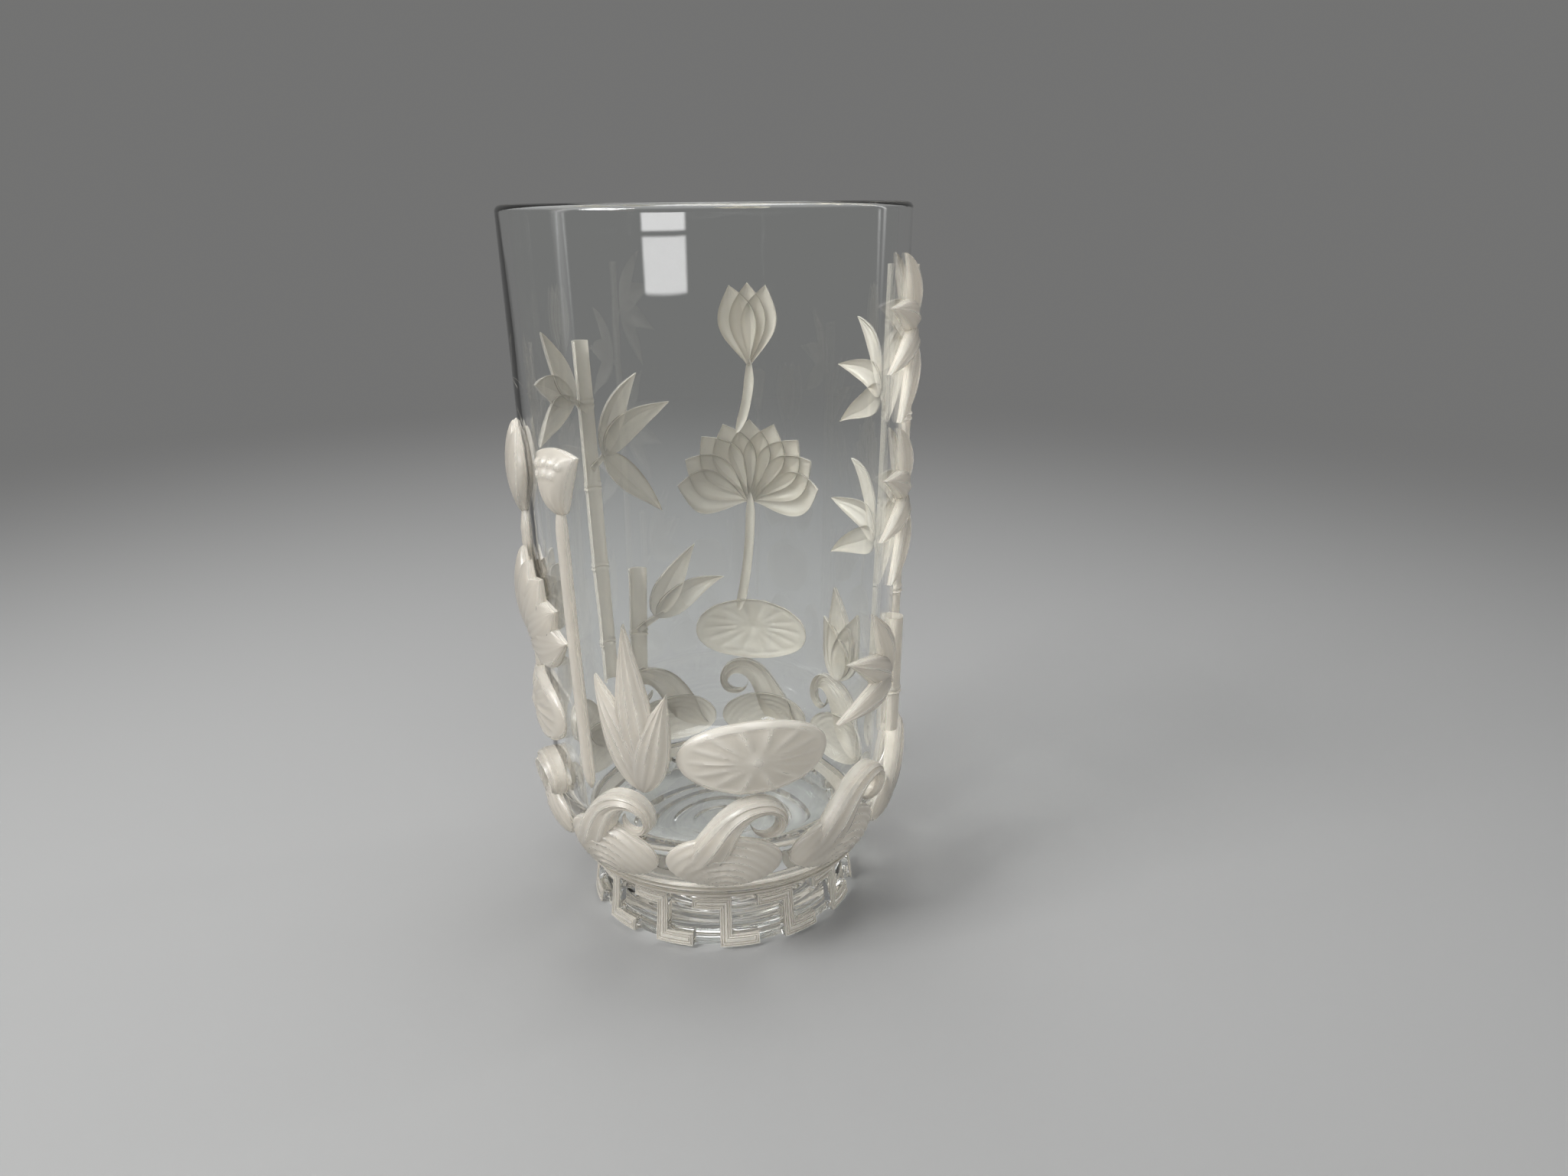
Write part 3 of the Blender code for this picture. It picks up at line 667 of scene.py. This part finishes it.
def vessel_profile():
    """Profile of the vessel from the middle of its floor, over the lip and down to the collar."""
    half_wall = WALL_THICKNESS / 2
    inner_top = VASE_HEIGHT - LIP_RISE
    lip = wall_radius(inner_top) - half_wall
    corner_height = FLOOR + FLOOR_CORNER
    corner_radius = wall_radius(corner_height) - WALL_THICKNESS - FLOOR_CORNER
    depth, drop = bowl_radii()
    collar = COLLAR_RADIUS - COLLAR_SKIN
    profile = [(0.0, FLOOR)] + line((0.0, FLOOR), (corner_radius, FLOOR), ARC_STEPS)
    profile += arc((corner_radius, corner_height), (FLOOR_CORNER, FLOOR_CORNER), 270, 360)
    profile += line(profile[-1], (lip - half_wall, inner_top), WALL_STEPS)
    profile.append((lip - half_wall, inner_top - LIP_EDGE))
    profile += arc((lip, inner_top), (half_wall, LIP_RISE), 180, 0)
    profile.append((lip + half_wall, inner_top - LIP_EDGE))
    profile += line(profile[-1], (BOWL_RADIUS, BOWL_HEIGHT), WALL_STEPS)
    profile += arc((BOWL_RADIUS - depth, BOWL_HEIGHT), (depth, drop), 0, -math.degrees(BOWL_TURN))
    profile += [(SEAT_RADIUS, BOWL_FOOT), (SEAT_RADIUS, FOOT_HEIGHT)]
    profile += [(collar, FOOT_HEIGHT), (collar, FOOT_HEIGHT - COLLAR_EDGE)]
    return profile


def foot_profile():
    """Profile of the foot: its side at the fret's level edges, its bottom edge and the hollow."""
    foot, shelf, step, top = fret_rows()
    levels = [top - FRET_BEVEL, step + FRET_BEVEL, step]
    levels += [(2 * step + shelf) / 3, (step + 2 * shelf) / 3]
    levels += [shelf, shelf - FRET_BEVEL, foot + FRET_BEVEL, foot]
    profile = [(fret_radius(top) - FRET_SKIN, top)]
    profile += [(core_radius(height), height) for height in levels]
    profile.append((core_radius(0.0) - FOOT_CHAMFER, 0.0))
    return profile + hollow()


def build_body():
    """Vessel, foot and the fret's raised hooks as the one piece of glass that they are."""
    bm = new_bmesh()
    vessel_rings = add_turned(bm, vessel_profile(), EVEN_TURNS, body_shift)
    foot_turns = fret_turns()
    foot_rings = add_turned(bm, foot_profile(), foot_turns, body_shift)
    add_bands(bm, vessel_rings)
    add_bridge(bm, vessel_rings[-1], EVEN_TURNS, foot_rings[0], foot_turns)
    add_bands(bm, foot_rings)
    add_piece("glass_body", bm, clear, ["vessel", "foot"])


def build_bead():
    """Bead round the bowl's lower edge: a broad roll over a narrow one."""
    height = RING_HIGH.z - RING_LOW.z
    inner = SEAT_RADIUS - SEAT_DEPTH
    depth = RING_RADIUS - inner
    upper = height * BEAD_UPPER_ROLL
    lower = height * BEAD_LOWER_ROLL
    profile = arc((inner, RING_HIGH.z - upper), (depth, upper), 90, -90)
    profile += arc((inner, RING_LOW.z + lower), (depth * BEAD_LOWER_REACH, lower), 90, -90)
    bm = new_bmesh()
    rings = add_turned(bm, profile, EVEN_TURNS)
    add_bands(bm, rings + rings[:1])
    crest = bm.verts.layers.float["crest"]
    for vert in bm.verts:
        share = (math.hypot(vert.co.x, vert.co.y) - inner) / depth
        # Painted highlight and wear, brighter towards the bead's outer side
        vert[crest] = max(0.0, share) ** BEAD_GLINT_POWER
    add_piece("bowl_edge_bead", bm, frosted, ["bowl_edge_ring"])


def build_collar():
    """Frosted skin of the slope that leads from the bead in to the fret."""
    sunk = COLLAR_SKIN + SEAT_DEPTH
    top = COLLAR_HIGH.z
    edge_foot = top - COLLAR_EDGE
    neck = fret_radius(COLLAR_LOW.z)
    profile = [(COLLAR_RADIUS - sunk, top), (COLLAR_RADIUS, top), (COLLAR_RADIUS, edge_foot)]
    profile += line((COLLAR_RADIUS, edge_foot), (neck, COLLAR_LOW.z), ARC_STEPS)
    profile += [(neck, COLLAR_LOW.z), (neck - sunk, COLLAR_LOW.z), (COLLAR_RADIUS - sunk, edge_foot)]
    bm = new_bmesh()
    rings = add_turned(bm, profile, EVEN_TURNS)
    add_bands(bm, rings + rings[:1])
    add_frosted("foot_collar", bm)


def fret_outline():
    """Corners of one hook: a bar with an arm to the left above and one to the right below."""
    left, bar_left, bar_right, right = fret_edges()
    foot, shelf, step, top = fret_rows()
    return [(bar_left, foot), (right, foot), (right, shelf), (bar_right, shelf),
            (bar_right, top), (left, top), (left, step), (bar_left, step)]


def set_in(corners, inset):
    """Corners of an outline of level and upright lines, moved in from its edge."""
    moved = []
    for index, (across, height) in enumerate(corners):
        before = corners[index - 1]
        after = corners[(index + 1) % len(corners)]
        legs = ((across - before[0], height - before[1]), (after[0] - across, after[1] - height))
        level = sum(math.copysign(1.0, leg[0]) for leg in legs if abs(leg[0]) > MERGE)
        upright = sum(math.copysign(1.0, leg[1]) for leg in legs if abs(leg[1]) > MERGE)
        moved.append((across - inset * upright, height + inset * level))
    return moved


def build_hook(index):
    """Frosted face of a hook: a ribbon with raised lines that follow its edge."""
    bm = new_bmesh()
    crest = bm.verts.layers.float["crest"]
    corners = fret_outline()
    counts = [math.ceil(math.dist(start, end) / FRET_PIECE)
              for start, end in zip(corners, corners[1:] + corners[:1])]
    rings = []
    for inset, rise in FRET_RIBBON:
        inner = set_in(corners, inset * MM)
        points = []
        for start, end, count in zip(inner, inner[1:] + inner[:1], counts):
            points += [start] + line(start, end, count)
        ring = []
        for across, height in points:
            radius = fret_radius(height) - FRET_SKIN + rise * MM
            angle = across / fret_reach()
            vert = bm.verts.new((radius * math.sin(angle), -radius * math.cos(angle), height))
            # Raised lines of the ribbon painted bright: wear and a painted highlight
            vert[crest] = float(rise > FRET_CREST)
            ring.append(vert)
        rings.append(ring)
    add_bands(bm, rings)
    bm.faces.new(rings[0])
    bm.faces.new(rings[-1])
    add_frosted(f"fret_hook_{index + 1:02d}", bm, 360.0 * index / FRET_COUNT)


def lance(along):
    """Half-width share of a narrow leaf, widest near its foot."""
    return math.sin(math.pi * along ** LEAF_FULLNESS)


def broad(along):
    """Half-width share of a pointed petal, widest past its middle."""
    return math.sin(math.pi * along ** PETAL_FULLNESS)


def oval(along):
    """Half-width share of a floating pad or a swell."""
    return 2.0 * math.sqrt(max(along * (1.0 - along), 0.0))


def cup(along):
    """Half-width share of a seed pod, which widens to a blunt top."""
    end = min(along / POD_FOOT_ROUND, (1.0 - along) / POD_TOP_ROUND, 1.0)
    return (POD_NECK + (1.0 - POD_NECK) * along) * math.sqrt(max(end, 0.0))


def twig(along):
    """Half-width share of a twig, which thins from its cane to its leaves."""
    return 1.0 - TWIG_TAPER * along


def billow(along):
    """Half-width share of a wave: it swells from its foot and thins to its curled tip."""
    rise = math.sin(math.pi / 2 * min(along / WAVE_FULL_AT, 1.0))
    return (max(1.0 - along, 0.0) * rise) ** WAVE_TAPER


def arch(heading, bend=0.0):
    """Directions along a leaf that starts at a heading and turns evenly by bend."""
    return lambda along: heading + bend * along


def breaker(along):
    """Directions along a wave: it runs to the right, climbs, then curls over at its crest."""
    climb = WAVE_CLIMB * math.sin(math.pi * min(along / WAVE_CLIMB_END, 1.0))
    return WAVE_RUN - climb + WAVE_CURL * along ** WAVE_CURL_DELAY


def trail(direction, length, along):
    """Place, across and up from its foot, on a line that follows a direction."""
    across = 0.0
    height = 0.0
    step = length * along / TRAIL_PIECES
    for piece in range(TRAIL_PIECES):
        turn = direction(along * (piece + 0.5) / TRAIL_PIECES)
        across += step * math.sin(turn)
        height += step * math.cos(turn)
    return across, height


def leaf_spine(root, direction, length, width, outline):
    """Function for a leaf's middle line: its place, direction and half width, along it from 0 to 1."""
    def spine(along):
        across, height = trail(direction, length, along)
        return root[0] + across, root[1] + height, direction(along), outline(along) * width / 2
    return spine


def beside(station, side):
    """Place beside a station of a spine, at -1 and 1 on its edges."""
    across, height, turn, half = station
    return across + side * half * math.cos(turn), height - side * half * math.sin(turn)


def leaf_reach(direction, length, width, outline):
    """Highest point of a leaf over its foot, and how far it goes back past its foot."""
    spine = leaf_spine((0.0, 0.0), direction, length, width, outline)
    stations = [spine(step / TRAIL_PIECES) for step in range(TRAIL_PIECES + 1)]
    points = [beside(station, side) for station in stations for side in (-1, 1)]
    return max(point[1] for point in points), min(point[0] for point in points)


def even_share(along):
    """Share of a rod's height that spaces its rows evenly, where a skin's rows crowd at both ends."""
    return math.acos(1.0 - 2.0 * min(max(along, 0.0), 1.0)) / math.pi


def border(steps, sides):
    """Rows and columns of the places round a skin's edge, in order."""
    places = [(step, 0) for step in range(steps)]
    places += [(steps, column) for column in range(sides)]
    places += [(step, sides) for step in range(steps, 0, -1)]
    places += [(0, column) for column in range(sides, 0, -1)]
    return places


def add_rows(bm, spine, relief, grid, lift):
    """Rows of points on the front of a skin, and on its back just under the front or inside the wall."""
    crest = bm.verts.layers.float["crest"]
    steps, sides = grid
    fronts = []
    backs = []
    for step in range(steps + 1):
        along = 0.5 - 0.5 * math.cos(math.pi * step / steps)
        station = spine(along)
        front = []
        back = []
        for column in range(sides + 1):
            side = math.sin(math.pi * (column / sides - 0.5))
            across, height = beside(station, side)
            out, worn_and_highlit = relief(along, side)
            vert = bm.verts.new(on_wall(across, height, lift + out))
            # Crests get wear and a painted highlight, and the skin's edges get a painted highlight as well
            vert[crest] = min(max(worn_and_highlit, ridge(1.0 - abs(side), EDGE_GLINT_WIDTH)), 1.0)
            front.append(vert)
            back.append(bm.verts.new(on_wall(across, height, max(lift + out - SKIN, 0.0) - SEAT_DEPTH)))
        fronts.append(front)
        backs.append(back)
    return fronts, backs


def add_skin(bm, spine, relief, grid, lift=0.0):
    """Closed moulded skin on the wall. relief gives how far it stands out and how bright it is painted:
    partly wear, partly a painted highlight.
    """
    steps, sides = grid
    fronts, backs = add_rows(bm, spine, relief, grid, lift)
    for step in range(steps):
        for column in range(sides):
            for rows in (fronts, backs):
                bm.faces.new([rows[step][column], rows[step][column + 1],
                              rows[step + 1][column + 1], rows[step + 1][column]])
    places = border(steps, sides)
    for (row, column), (next_row, next_column) in zip(places, places[1:] + places[:1]):
        bm.faces.new([fronts[row][column], fronts[next_row][next_column],
                      backs[next_row][next_column], backs[row][column]])
    verts = [vert for row in fronts + backs for vert in row]
    bmesh.ops.remove_doubles(bm, verts=verts, dist=MERGE)


def ridge(distance, width):
    """Rounded ridge: 1 on its line, fading to 0 past its width."""
    return math.exp(-(distance / width) ** 2)


def ripple(turn):
    """Even rounded ribs, a full turn apart: 1 on a crest and 0 between."""
    return 0.5 + 0.5 * math.cos(turn)


def half_round(side):
    """Height share of a half-round section at a place across it."""
    return math.sqrt(max(1.0 - side * side, 0.0))


def body_of(crown, along, side):
    """Crowned body of a leaf, as in the solids, and how much of its crown is left towards its ends."""
    swell = max(math.sin(math.pi * along), 0.0) ** CROWN_FULLNESS
    return EDGE + (crown - EDGE) * half_round(side) * swell, swell


def leaf_relief(along, side):
    """Bamboo leaf: folded along a raised midrib, with fine veins beside it."""
    out, swell = body_of(LEAF_CROWN, along, side)
    rib = ridge(side, LEAF_RIB_WIDTH)
    veins = ripple(LEAF_VEINS * math.pi * side)
    out += swell * (RIB_HEIGHT * rib + VEIN_HEIGHT * veins * (1.0 - rib) + LEAF_FOLD * side)
    # Midrib and veins painted bright as wear and a painted highlight, and the leaf's edge as a painted
    # highlight
    worn_and_highlit = swell * max(rib, LEAF_VEIN_GLINT * veins)
    return out, worn_and_highlit + ridge(1.0 - abs(side), LEAF_EDGE_WIDTH)


def twig_relief(along, side):
    """Twig: plain, painted bright along its middle: wear and a painted highlight."""
    out, swell = body_of(TWIG_CROWN, along, side)
    return out, swell * ridge(side, TWIG_GLINT_WIDTH)


def petal_relief(along, side):
    """Lotus petal: ribbed along its length, with a raised border."""
    out, swell = body_of(PETAL_CROWN, along, side)
    rim = ridge(abs(side) - PETAL_BORDER, PETAL_BORDER_WIDTH)
    fade = 1.0 - min(abs(side) / PETAL_RIB_REACH, 1.0) ** PETAL_RIB_FADE
    ribs = ripple(PETAL_RIBS * math.pi * side) * fade
    out += swell * (PETAL_BORDER_HEIGHT * rim + PETAL_RIB_HEIGHT * ribs)
    return out, swell * max(rim, PETAL_RIB_GLINT * ribs)


def reed_relief(along, side):
    """Reed blade: deep ribs along its length."""
    out, swell = body_of(REED_CROWN, along, side)
    ribs = ripple(REED_RIBS * math.pi * side)
    out += swell * RIB_HEIGHT * ribs
    return out, swell * ribs * REED_RIB_GLINT


def pad_relief(along, side):
    """Floating pad: veins that spread from a boss, and a turned-up rim."""
    out, swell = body_of(PAD_CROWN, along, side)
    across = (along - 0.5) * PAD_LENGTH
    height = side * oval(along) * PAD_WIDTH / 2
    reach = math.hypot(2.0 * across / PAD_LENGTH, 2.0 * height / PAD_WIDTH)
    turn = math.atan2(height * PAD_LENGTH, across * PAD_WIDTH)
    vein = ripple(PAD_VEINS * turn) ** PAD_VEIN_SHARPNESS * min(reach / PAD_VEIN_FULL_AT, 1.0)
    boss = ridge(math.hypot(across, height), PAD_BOSS)
    rim = ridge(reach - PAD_RIM, PAD_RIM_WIDTH)
    out += swell * (RIB_HEIGHT * vein * (1.0 - rim) + PAD_RIM_HEIGHT * rim + PAD_BOSS_HEIGHT * boss)
    return out, swell * max(vein * PAD_VEIN_GLINT, rim, boss)


def pod_relief(along, side):
    """Seed pod: ridged below, with round seeds set in its blunt top."""
    out, swell = body_of(POD_CROWN, along, side)
    seeds = 0.0
    for seed_side, seed_along in SEEDS:
        gap = math.hypot((side * cup(along) - seed_side * cup(seed_along)) * POD_WIDTH / 2,
                         (along - seed_along) * POD_WIDTH)
        seeds = max(seeds, half_round(gap / SEED_RADIUS))
    ribs = ripple(POD_RIBS * math.pi * side) * max(1.0 - along / POD_RIB_END, 0.0)
    out += SEED_HEIGHT * seeds + swell * RIB_HEIGHT * ribs
    # Seeds and ribs painted bright: wear and a painted highlight
    return out, max(seeds, POD_RIB_GLINT * ribs * swell)


def wave_relief(along, side):
    """Breaking wave: lines that run along it and close in on its curl."""
    out, swell = body_of(WAVE_CROWN, along, side)
    ribs = ripple(WAVE_RIBS * math.pi * side)
    out += swell * WAVE_RIB_HEIGHT * ribs
    # Ribs painted bright: wear and a painted highlight
    return out, swell * ribs


def swell_relief(along, side):
    """Broad swell under a wave: round ribs, one inside the other."""
    out, swell = body_of(SWELL_CROWN, along, side)
    across = (along - 0.5) * SWELL_LENGTH
    height = -side * oval(along) * SWELL_WIDTH / 2
    reach = math.hypot(across, height + SWELL_WIDTH / 2)
    ribs = ripple(2.0 * math.pi * reach / SWELL_RIB_PITCH)
    out += swell * SWELL_RIB_HEIGHT * ribs
    return out, swell * ribs * SWELL_RIB_GLINT


def build_wave(index):
    """A curling wave over a broad swell."""
    bm = new_bmesh()
    root = (-WAVE_SETBACK, BOWL_FOOT + WAVE_FOOT)
    spine = leaf_spine(root, breaker, WAVE_LENGTH, WAVE_WIDTH, billow)
    add_skin(bm, spine, wave_relief, WAVE_GRID, LAYER)
    root = (-SWELL_LENGTH / 2, BOWL_FOOT + SWELL_WIDTH / 2 + JOINT_GAP)
    spine = leaf_spine(root, arch(RIGHTWARD), SWELL_LENGTH, SWELL_WIDTH, oval)
    add_skin(bm, spine, swell_relief, SWELL_GRID)
    add_frosted(f"wave_{index + 1:02d}", bm, 360.0 * index / WAVE_COUNT)


def cane_across(name, height):
    """How far a cane has leaned from its foot at a height."""
    low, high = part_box("bamboo_cane_" + name)
    share = (height - low.z) / (high.z - low.z)
    return math.radians(CANES[name]["lean"]) * wall_radius(height) * share


def build_cane(name):
    """Half-round cane with a pair of rings at each node."""
    node = "bamboo_cane_" + name
    low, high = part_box(node)

    def height_at(along):
        return low.z + (high.z - low.z) * even_share(along)

    def swelling(height):
        """What the nearest node adds to the cane's radius: a ring on each side of a groove."""
        past = (height - low.z - CANE_PITCH / 2) / CANE_PITCH
        away = abs(past - round(past)) * CANE_PITCH
        ring = ridge(away - CANE_NODE / 2, CANE_RING_WIDTH)
        return CANE_SWELL * (ring - CANE_GROOVE_DEPTH * ridge(away, CANE_GROOVE_WIDTH))

    def spine(along):
        height = height_at(along)
        return cane_across(name, height), height, 0.0, CANE_RADIUS + swelling(height)

    def relief(along, side):
        ring = swelling(height_at(along))
        out = ROD_AXIS + (CANE_RADIUS + ring) * half_round(side)
        # Node rings and the middle painted bright: wear and a painted highlight
        return out, max(ring / CANE_SWELL, CANE_GLINT * ridge(side, CANE_GLINT_WIDTH))

    bm = new_bmesh()
    add_skin(bm, spine, relief, (math.ceil((high.z - low.z) / CANE_STEP), CANE_SIDES))
    add_frosted(node, bm, CANES[name]["angle"])


def add_twig(bm, cane, root):
    """Twig that climbs from a cane to the root of a spray."""
    height = root[1] - TWIG_DROP
    start = (cane_across(cane, height), height)
    length = math.dist(start, root) + TWIG_REACH
    heading = math.atan2(root[0] - start[0], root[1] - start[1])
    add_skin(bm, leaf_spine(start, arch(heading), length, TWIG_WIDTH, twig), twig_relief, TWIG_GRID)


def build_spray(name):
    """Fan of bamboo leaves beside a cane, with the twig that carries it."""
    spray = SPRAYS[name]
    cane = spray["cane"]
    side = spray["side"]
    node = "bamboo_leaves_" + name
    reaches = [leaf_reach(arch(math.radians(heading), LEAF_BEND), LEAF_LENGTH, LEAF_WIDTH, lance)
               for heading in spray["headings"]]
    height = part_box(node)[1].z - max(top for top, back in reaches)
    setback = CANE_RADIUS + CANE_SWELL + SPRAY_STANDOFF - min(back for top, back in reaches)
    root = (cane_across(cane, height) + side * setback, height)
    bm = new_bmesh()
    add_twig(bm, cane, root)
    for layer, heading in enumerate(spray["headings"]):
        direction = arch(side * math.radians(heading), side * LEAF_BEND)
        spine = leaf_spine(root, direction, LEAF_LENGTH, LEAF_WIDTH, lance)
        add_skin(bm, spine, leaf_relief, LEAF_GRID, LAYER * layer)
    add_frosted(node, bm, CANES[cane]["angle"])


def build_pad(name):
    node = "lotus_" + name
    low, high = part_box(node)
    root = (-PAD_LENGTH / 2, (low.z + high.z) / 2)
    bm = new_bmesh()
    spine = leaf_spine(root, arch(RIGHTWARD), PAD_LENGTH, PAD_WIDTH, oval)
    add_skin(bm, spine, pad_relief, PAD_GRID)
    add_frosted(node, bm, PADS[name])


def build_head(name):
    """Blossom, bud or seed pod, and its stem."""
    kind, side = name.split("_")
    node = "lotus_" + name
    low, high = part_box(node)
    bm = new_bmesh()
    if kind in PETALS:
        root_height = high.z - PETAL_SETOUT - PETAL_LENGTH
        for layer, heading in enumerate(PETALS[kind]["headings"]):
            turn = math.radians(heading)
            start = (PETAL_SETOUT * math.sin(turn), root_height + PETAL_SETOUT * math.cos(turn))
            spine = leaf_spine(start, arch(turn), PETAL_LENGTH, PETALS[kind]["width"], broad)
            add_skin(bm, spine, petal_relief, PETAL_GRID, LAYER * layer)
    else:
        spine = leaf_spine((0.0, low.z), arch(0.0), high.z - low.z, POD_WIDTH, cup)
        add_skin(bm, spine, pod_relief, POD_GRID)
    add_frosted(node, bm, HEADS[name]["angle"])
    build_stem(f"lotus_{kind}_stem_{side}", HEADS[name])


def build_stem(node, head):
    """Half-round stem that leans in to the head's foot and thins out under it."""
    low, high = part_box(node)
    foot = low.z - STEM_SEAT
    top = high.z + STEM_REACH

    def height_at(along):
        return foot + (top - foot) * even_share(along)

    def size_at(height):
        share = min((top - height) / STEM_TAPER, (height - foot) / STEM_SEAT, 1.0)
        return STEM_RADIUS * math.sqrt(max(share, 0.0))

    def spine(along):
        height = height_at(along)
        share = min((height - low.z) / (high.z - low.z), 1.0)
        lean = math.radians(head["lean"]) * (1.0 - share) ** STEM_LEAN_POWER
        return lean * wall_radius(height), height, 0.0, size_at(height)

    def relief(along, side):
        out = ROD_AXIS + size_at(height_at(along)) * half_round(side)
        return out, STEM_GLINT * ridge(side, STEM_GLINT_WIDTH)

    bm = new_bmesh()
    add_skin(bm, spine, relief, STEM_GRID)
    add_frosted(node, bm, head["angle"])


def build_reeds(name):
    clump = REEDS[name]
    node = "reeds_" + name
    root = (0.0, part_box(node)[0].z)
    bm = new_bmesh()
    for layer, heading in enumerate(clump["headings"]):
        turn = math.radians(heading)
        length = REED_LENGTH * clump["lengths"][layer]
        spine = leaf_spine(root, arch(turn, REED_BEND * turn), length, REED_WIDTH, lance)
        add_skin(bm, spine, reed_relief, REED_GRID, LAYER * layer)
    add_frosted(node, bm, clump["angle"])


def build_camera():
    """Camera at the photograph's place, turned right by the yaw, down by the tilt and by the roll."""
    forward = Vector((math.sin(CAMERA_YAW) * math.cos(CAMERA_TILT),
                      math.cos(CAMERA_YAW) * math.cos(CAMERA_TILT),
                      -math.sin(CAMERA_TILT)))
    level = Vector((math.cos(CAMERA_YAW), -math.sin(CAMERA_YAW), 0.0))
    upright = level.cross(forward)
    right = level * math.cos(CAMERA_ROLL) + upright * math.sin(CAMERA_ROLL)
    up = upright * math.cos(CAMERA_ROLL) - level * math.sin(CAMERA_ROLL)
    data = bpy.data.cameras.new("camera")
    data.sensor_width = SENSOR_WIDTH
    data.lens = SENSOR_WIDTH * FOCAL_PIXELS / PHOTO_WIDTH
    data.clip_start = CLIP_START
    camera = add_object("camera", data)
    camera.matrix_world = Matrix((right, up, -forward)).transposed().to_4x4()
    camera.location = CAMERA_PLACE
    bpy.context.scene.camera = camera


def floor_material():
    """Plain pale floor that fades into the background's own colour away from the vase."""
    material, nodes, shader = new_material("floor_look")
    shader.inputs["Base Color"].default_value = (*GROUND_COLOUR, 1.0)
    shader.inputs["Roughness"].default_value = GROUND_ROUGHNESS
    shader.inputs["Specular IOR Level"].default_value = GROUND_GLOSS
    place = nodes.new("ShaderNodeTexCoord")
    reach = nodes.new("ShaderNodeVectorMath")
    reach.operation = "LENGTH"
    link(nodes, place.outputs["Object"], reach.inputs[0])
    fade = smooth_step(nodes, reach.outputs["Value"], FADE_START, FADE_END)
    glow = nodes.new("ShaderNodeEmission")
    glow.inputs["Color"].default_value = (*BACKGROUND, 1.0)
    mix_surfaces(nodes, fade, shader.outputs["BSDF"], glow.outputs["Emission"])
    return material


def build_floor():
    bm = bmesh.new()
    bmesh.ops.create_circle(bm, cap_ends=True, segments=GROUND_SEGMENTS, radius=GROUND_RADIUS)
    floor = add_mesh("studio_floor", bm, floor_material())
    floor.location.z = -GROUND_DROP


def build_world():
    """Background in the colour of the floor's far part, and a slightly brighter fill for diffuse light."""
    world = bpy.data.worlds.new("studio_world")
    world.use_nodes = True
    nodes = world.node_tree.nodes
    path = nodes.new("ShaderNodeLightPath")
    fill = colour_mix(nodes, path.outputs["Is Diffuse Ray"])
    fill.inputs["A"].default_value = (*BACKGROUND, 1.0)
    fill.inputs["B"].default_value = (*WORLD_FILL, 1.0)
    link(nodes, fill.outputs["Result"], nodes["Background"].inputs["Color"])
    bpy.context.scene.world = world


def add_lamp(name, place, aim, size, watts):
    """Rectangular lamp that faces a place and isn't seen by the camera itself."""
    data = bpy.data.lights.new(name, "AREA")
    data.shape = "RECTANGLE"
    data.size = size[0]
    data.size_y = size[1]
    data.energy = watts
    lamp = add_object(name, data)
    lamp.location = place
    lamp.rotation_euler = (Vector(aim) - Vector(place)).to_track_quat("-Z", "Y").to_euler()
    lamp.visible_camera = False
    return lamp


def distance_from(nodes, value, middle):
    """How far a value lies from a middle one, to either side."""
    away = nodes.new("ShaderNodeMath")
    away.operation = "SUBTRACT"
    away.inputs[1].default_value = middle
    size = nodes.new("ShaderNodeMath")
    size.operation = "ABSOLUTE"
    link(nodes, value, away.inputs[0])
    link(nodes, away.outputs["Value"], size.inputs[0])
    return size.outputs["Value"]


def soften(lamp, share):
    """Fade a lamp's face towards its edges, over a share of its half width and half height."""
    lamp.data.use_nodes = True
    nodes = lamp.data.node_tree.nodes
    face = nodes.new("ShaderNodeNewGeometry")
    split = nodes.new("ShaderNodeSeparateXYZ")
    both = nodes.new("ShaderNodeMath")
    both.operation = "MULTIPLY"
    link(nodes, face.outputs["Parametric"], split.inputs["Vector"])
    for place, axis in enumerate("XY"):
        away = distance_from(nodes, split.outputs[axis], FACE_MIDDLE)
        fade = smooth_step(nodes, away, FACE_MIDDLE, FACE_MIDDLE * (1.0 - share))
        link(nodes, fade, both.inputs[place])
    link(nodes, both.outputs["Value"], nodes["Emission"].inputs["Strength"])


def build_lamps():
    """Plain soft studio light, with a window and two strips for the glass to reflect."""
    middle = (0.0, 0.0, VASE_HEIGHT / 2)
    add_lamp("key", KEY_PLACE, middle, (KEY_SIZE, KEY_SIZE), KEY_WATTS)
    for name, place, watts in FILLS:
        fill = add_lamp(name, place, middle, (FILL_SIZE, FILL_SIZE), watts)
        fill.visible_glossy = False
        fill.visible_transmission = False
    for name, height, tall, watts in WINDOW_PANES:
        pane = add_lamp(name, (*WINDOW_PLACE, height), (0.0, 0.0, height), (WINDOW_WIDTH, tall), watts)
        soften(pane, PANE_SOFTNESS)
        pane.visible_diffuse = False
        pane.visible_transmission = False
    add_lamp("overhead", OVERHEAD_PLACE, middle, (OVERHEAD_SIZE, OVERHEAD_SIZE), OVERHEAD_WATTS)
    for name, place, width, watts, shows_through in STRIPS:
        strip = add_lamp(name, place, middle, (width, STRIP_HEIGHT), watts)
        soften(strip, STRIP_SOFTNESS)
        strip.visible_transmission = shows_through


def set_render():
    """Plain view of the colours, and bounces enough for light to pass both walls of the glass."""
    scene = bpy.context.scene
    scene.view_settings.view_transform = "Standard"
    scene.cycles.max_bounces = BOUNCES
    scene.cycles.transmission_bounces = BOUNCES
    scene.cycles.glossy_bounces = GLOSSY_BOUNCES
    scene.cycles.transparent_max_bounces = BOUNCES


clear = clear_glass()
frosted = frosted_glass()
build_camera()
build_body()
build_bead()
build_collar()
for build, keys in ((build_hook, range(FRET_COUNT)), (build_wave, range(WAVE_COUNT)),
                    (build_cane, CANES), (build_spray, SPRAYS), (build_pad, PADS),
                    (build_head, HEADS), (build_reeds, REEDS)):
    for key in keys:
        build(key)
build_floor()
build_world()
build_lamps()
set_render()
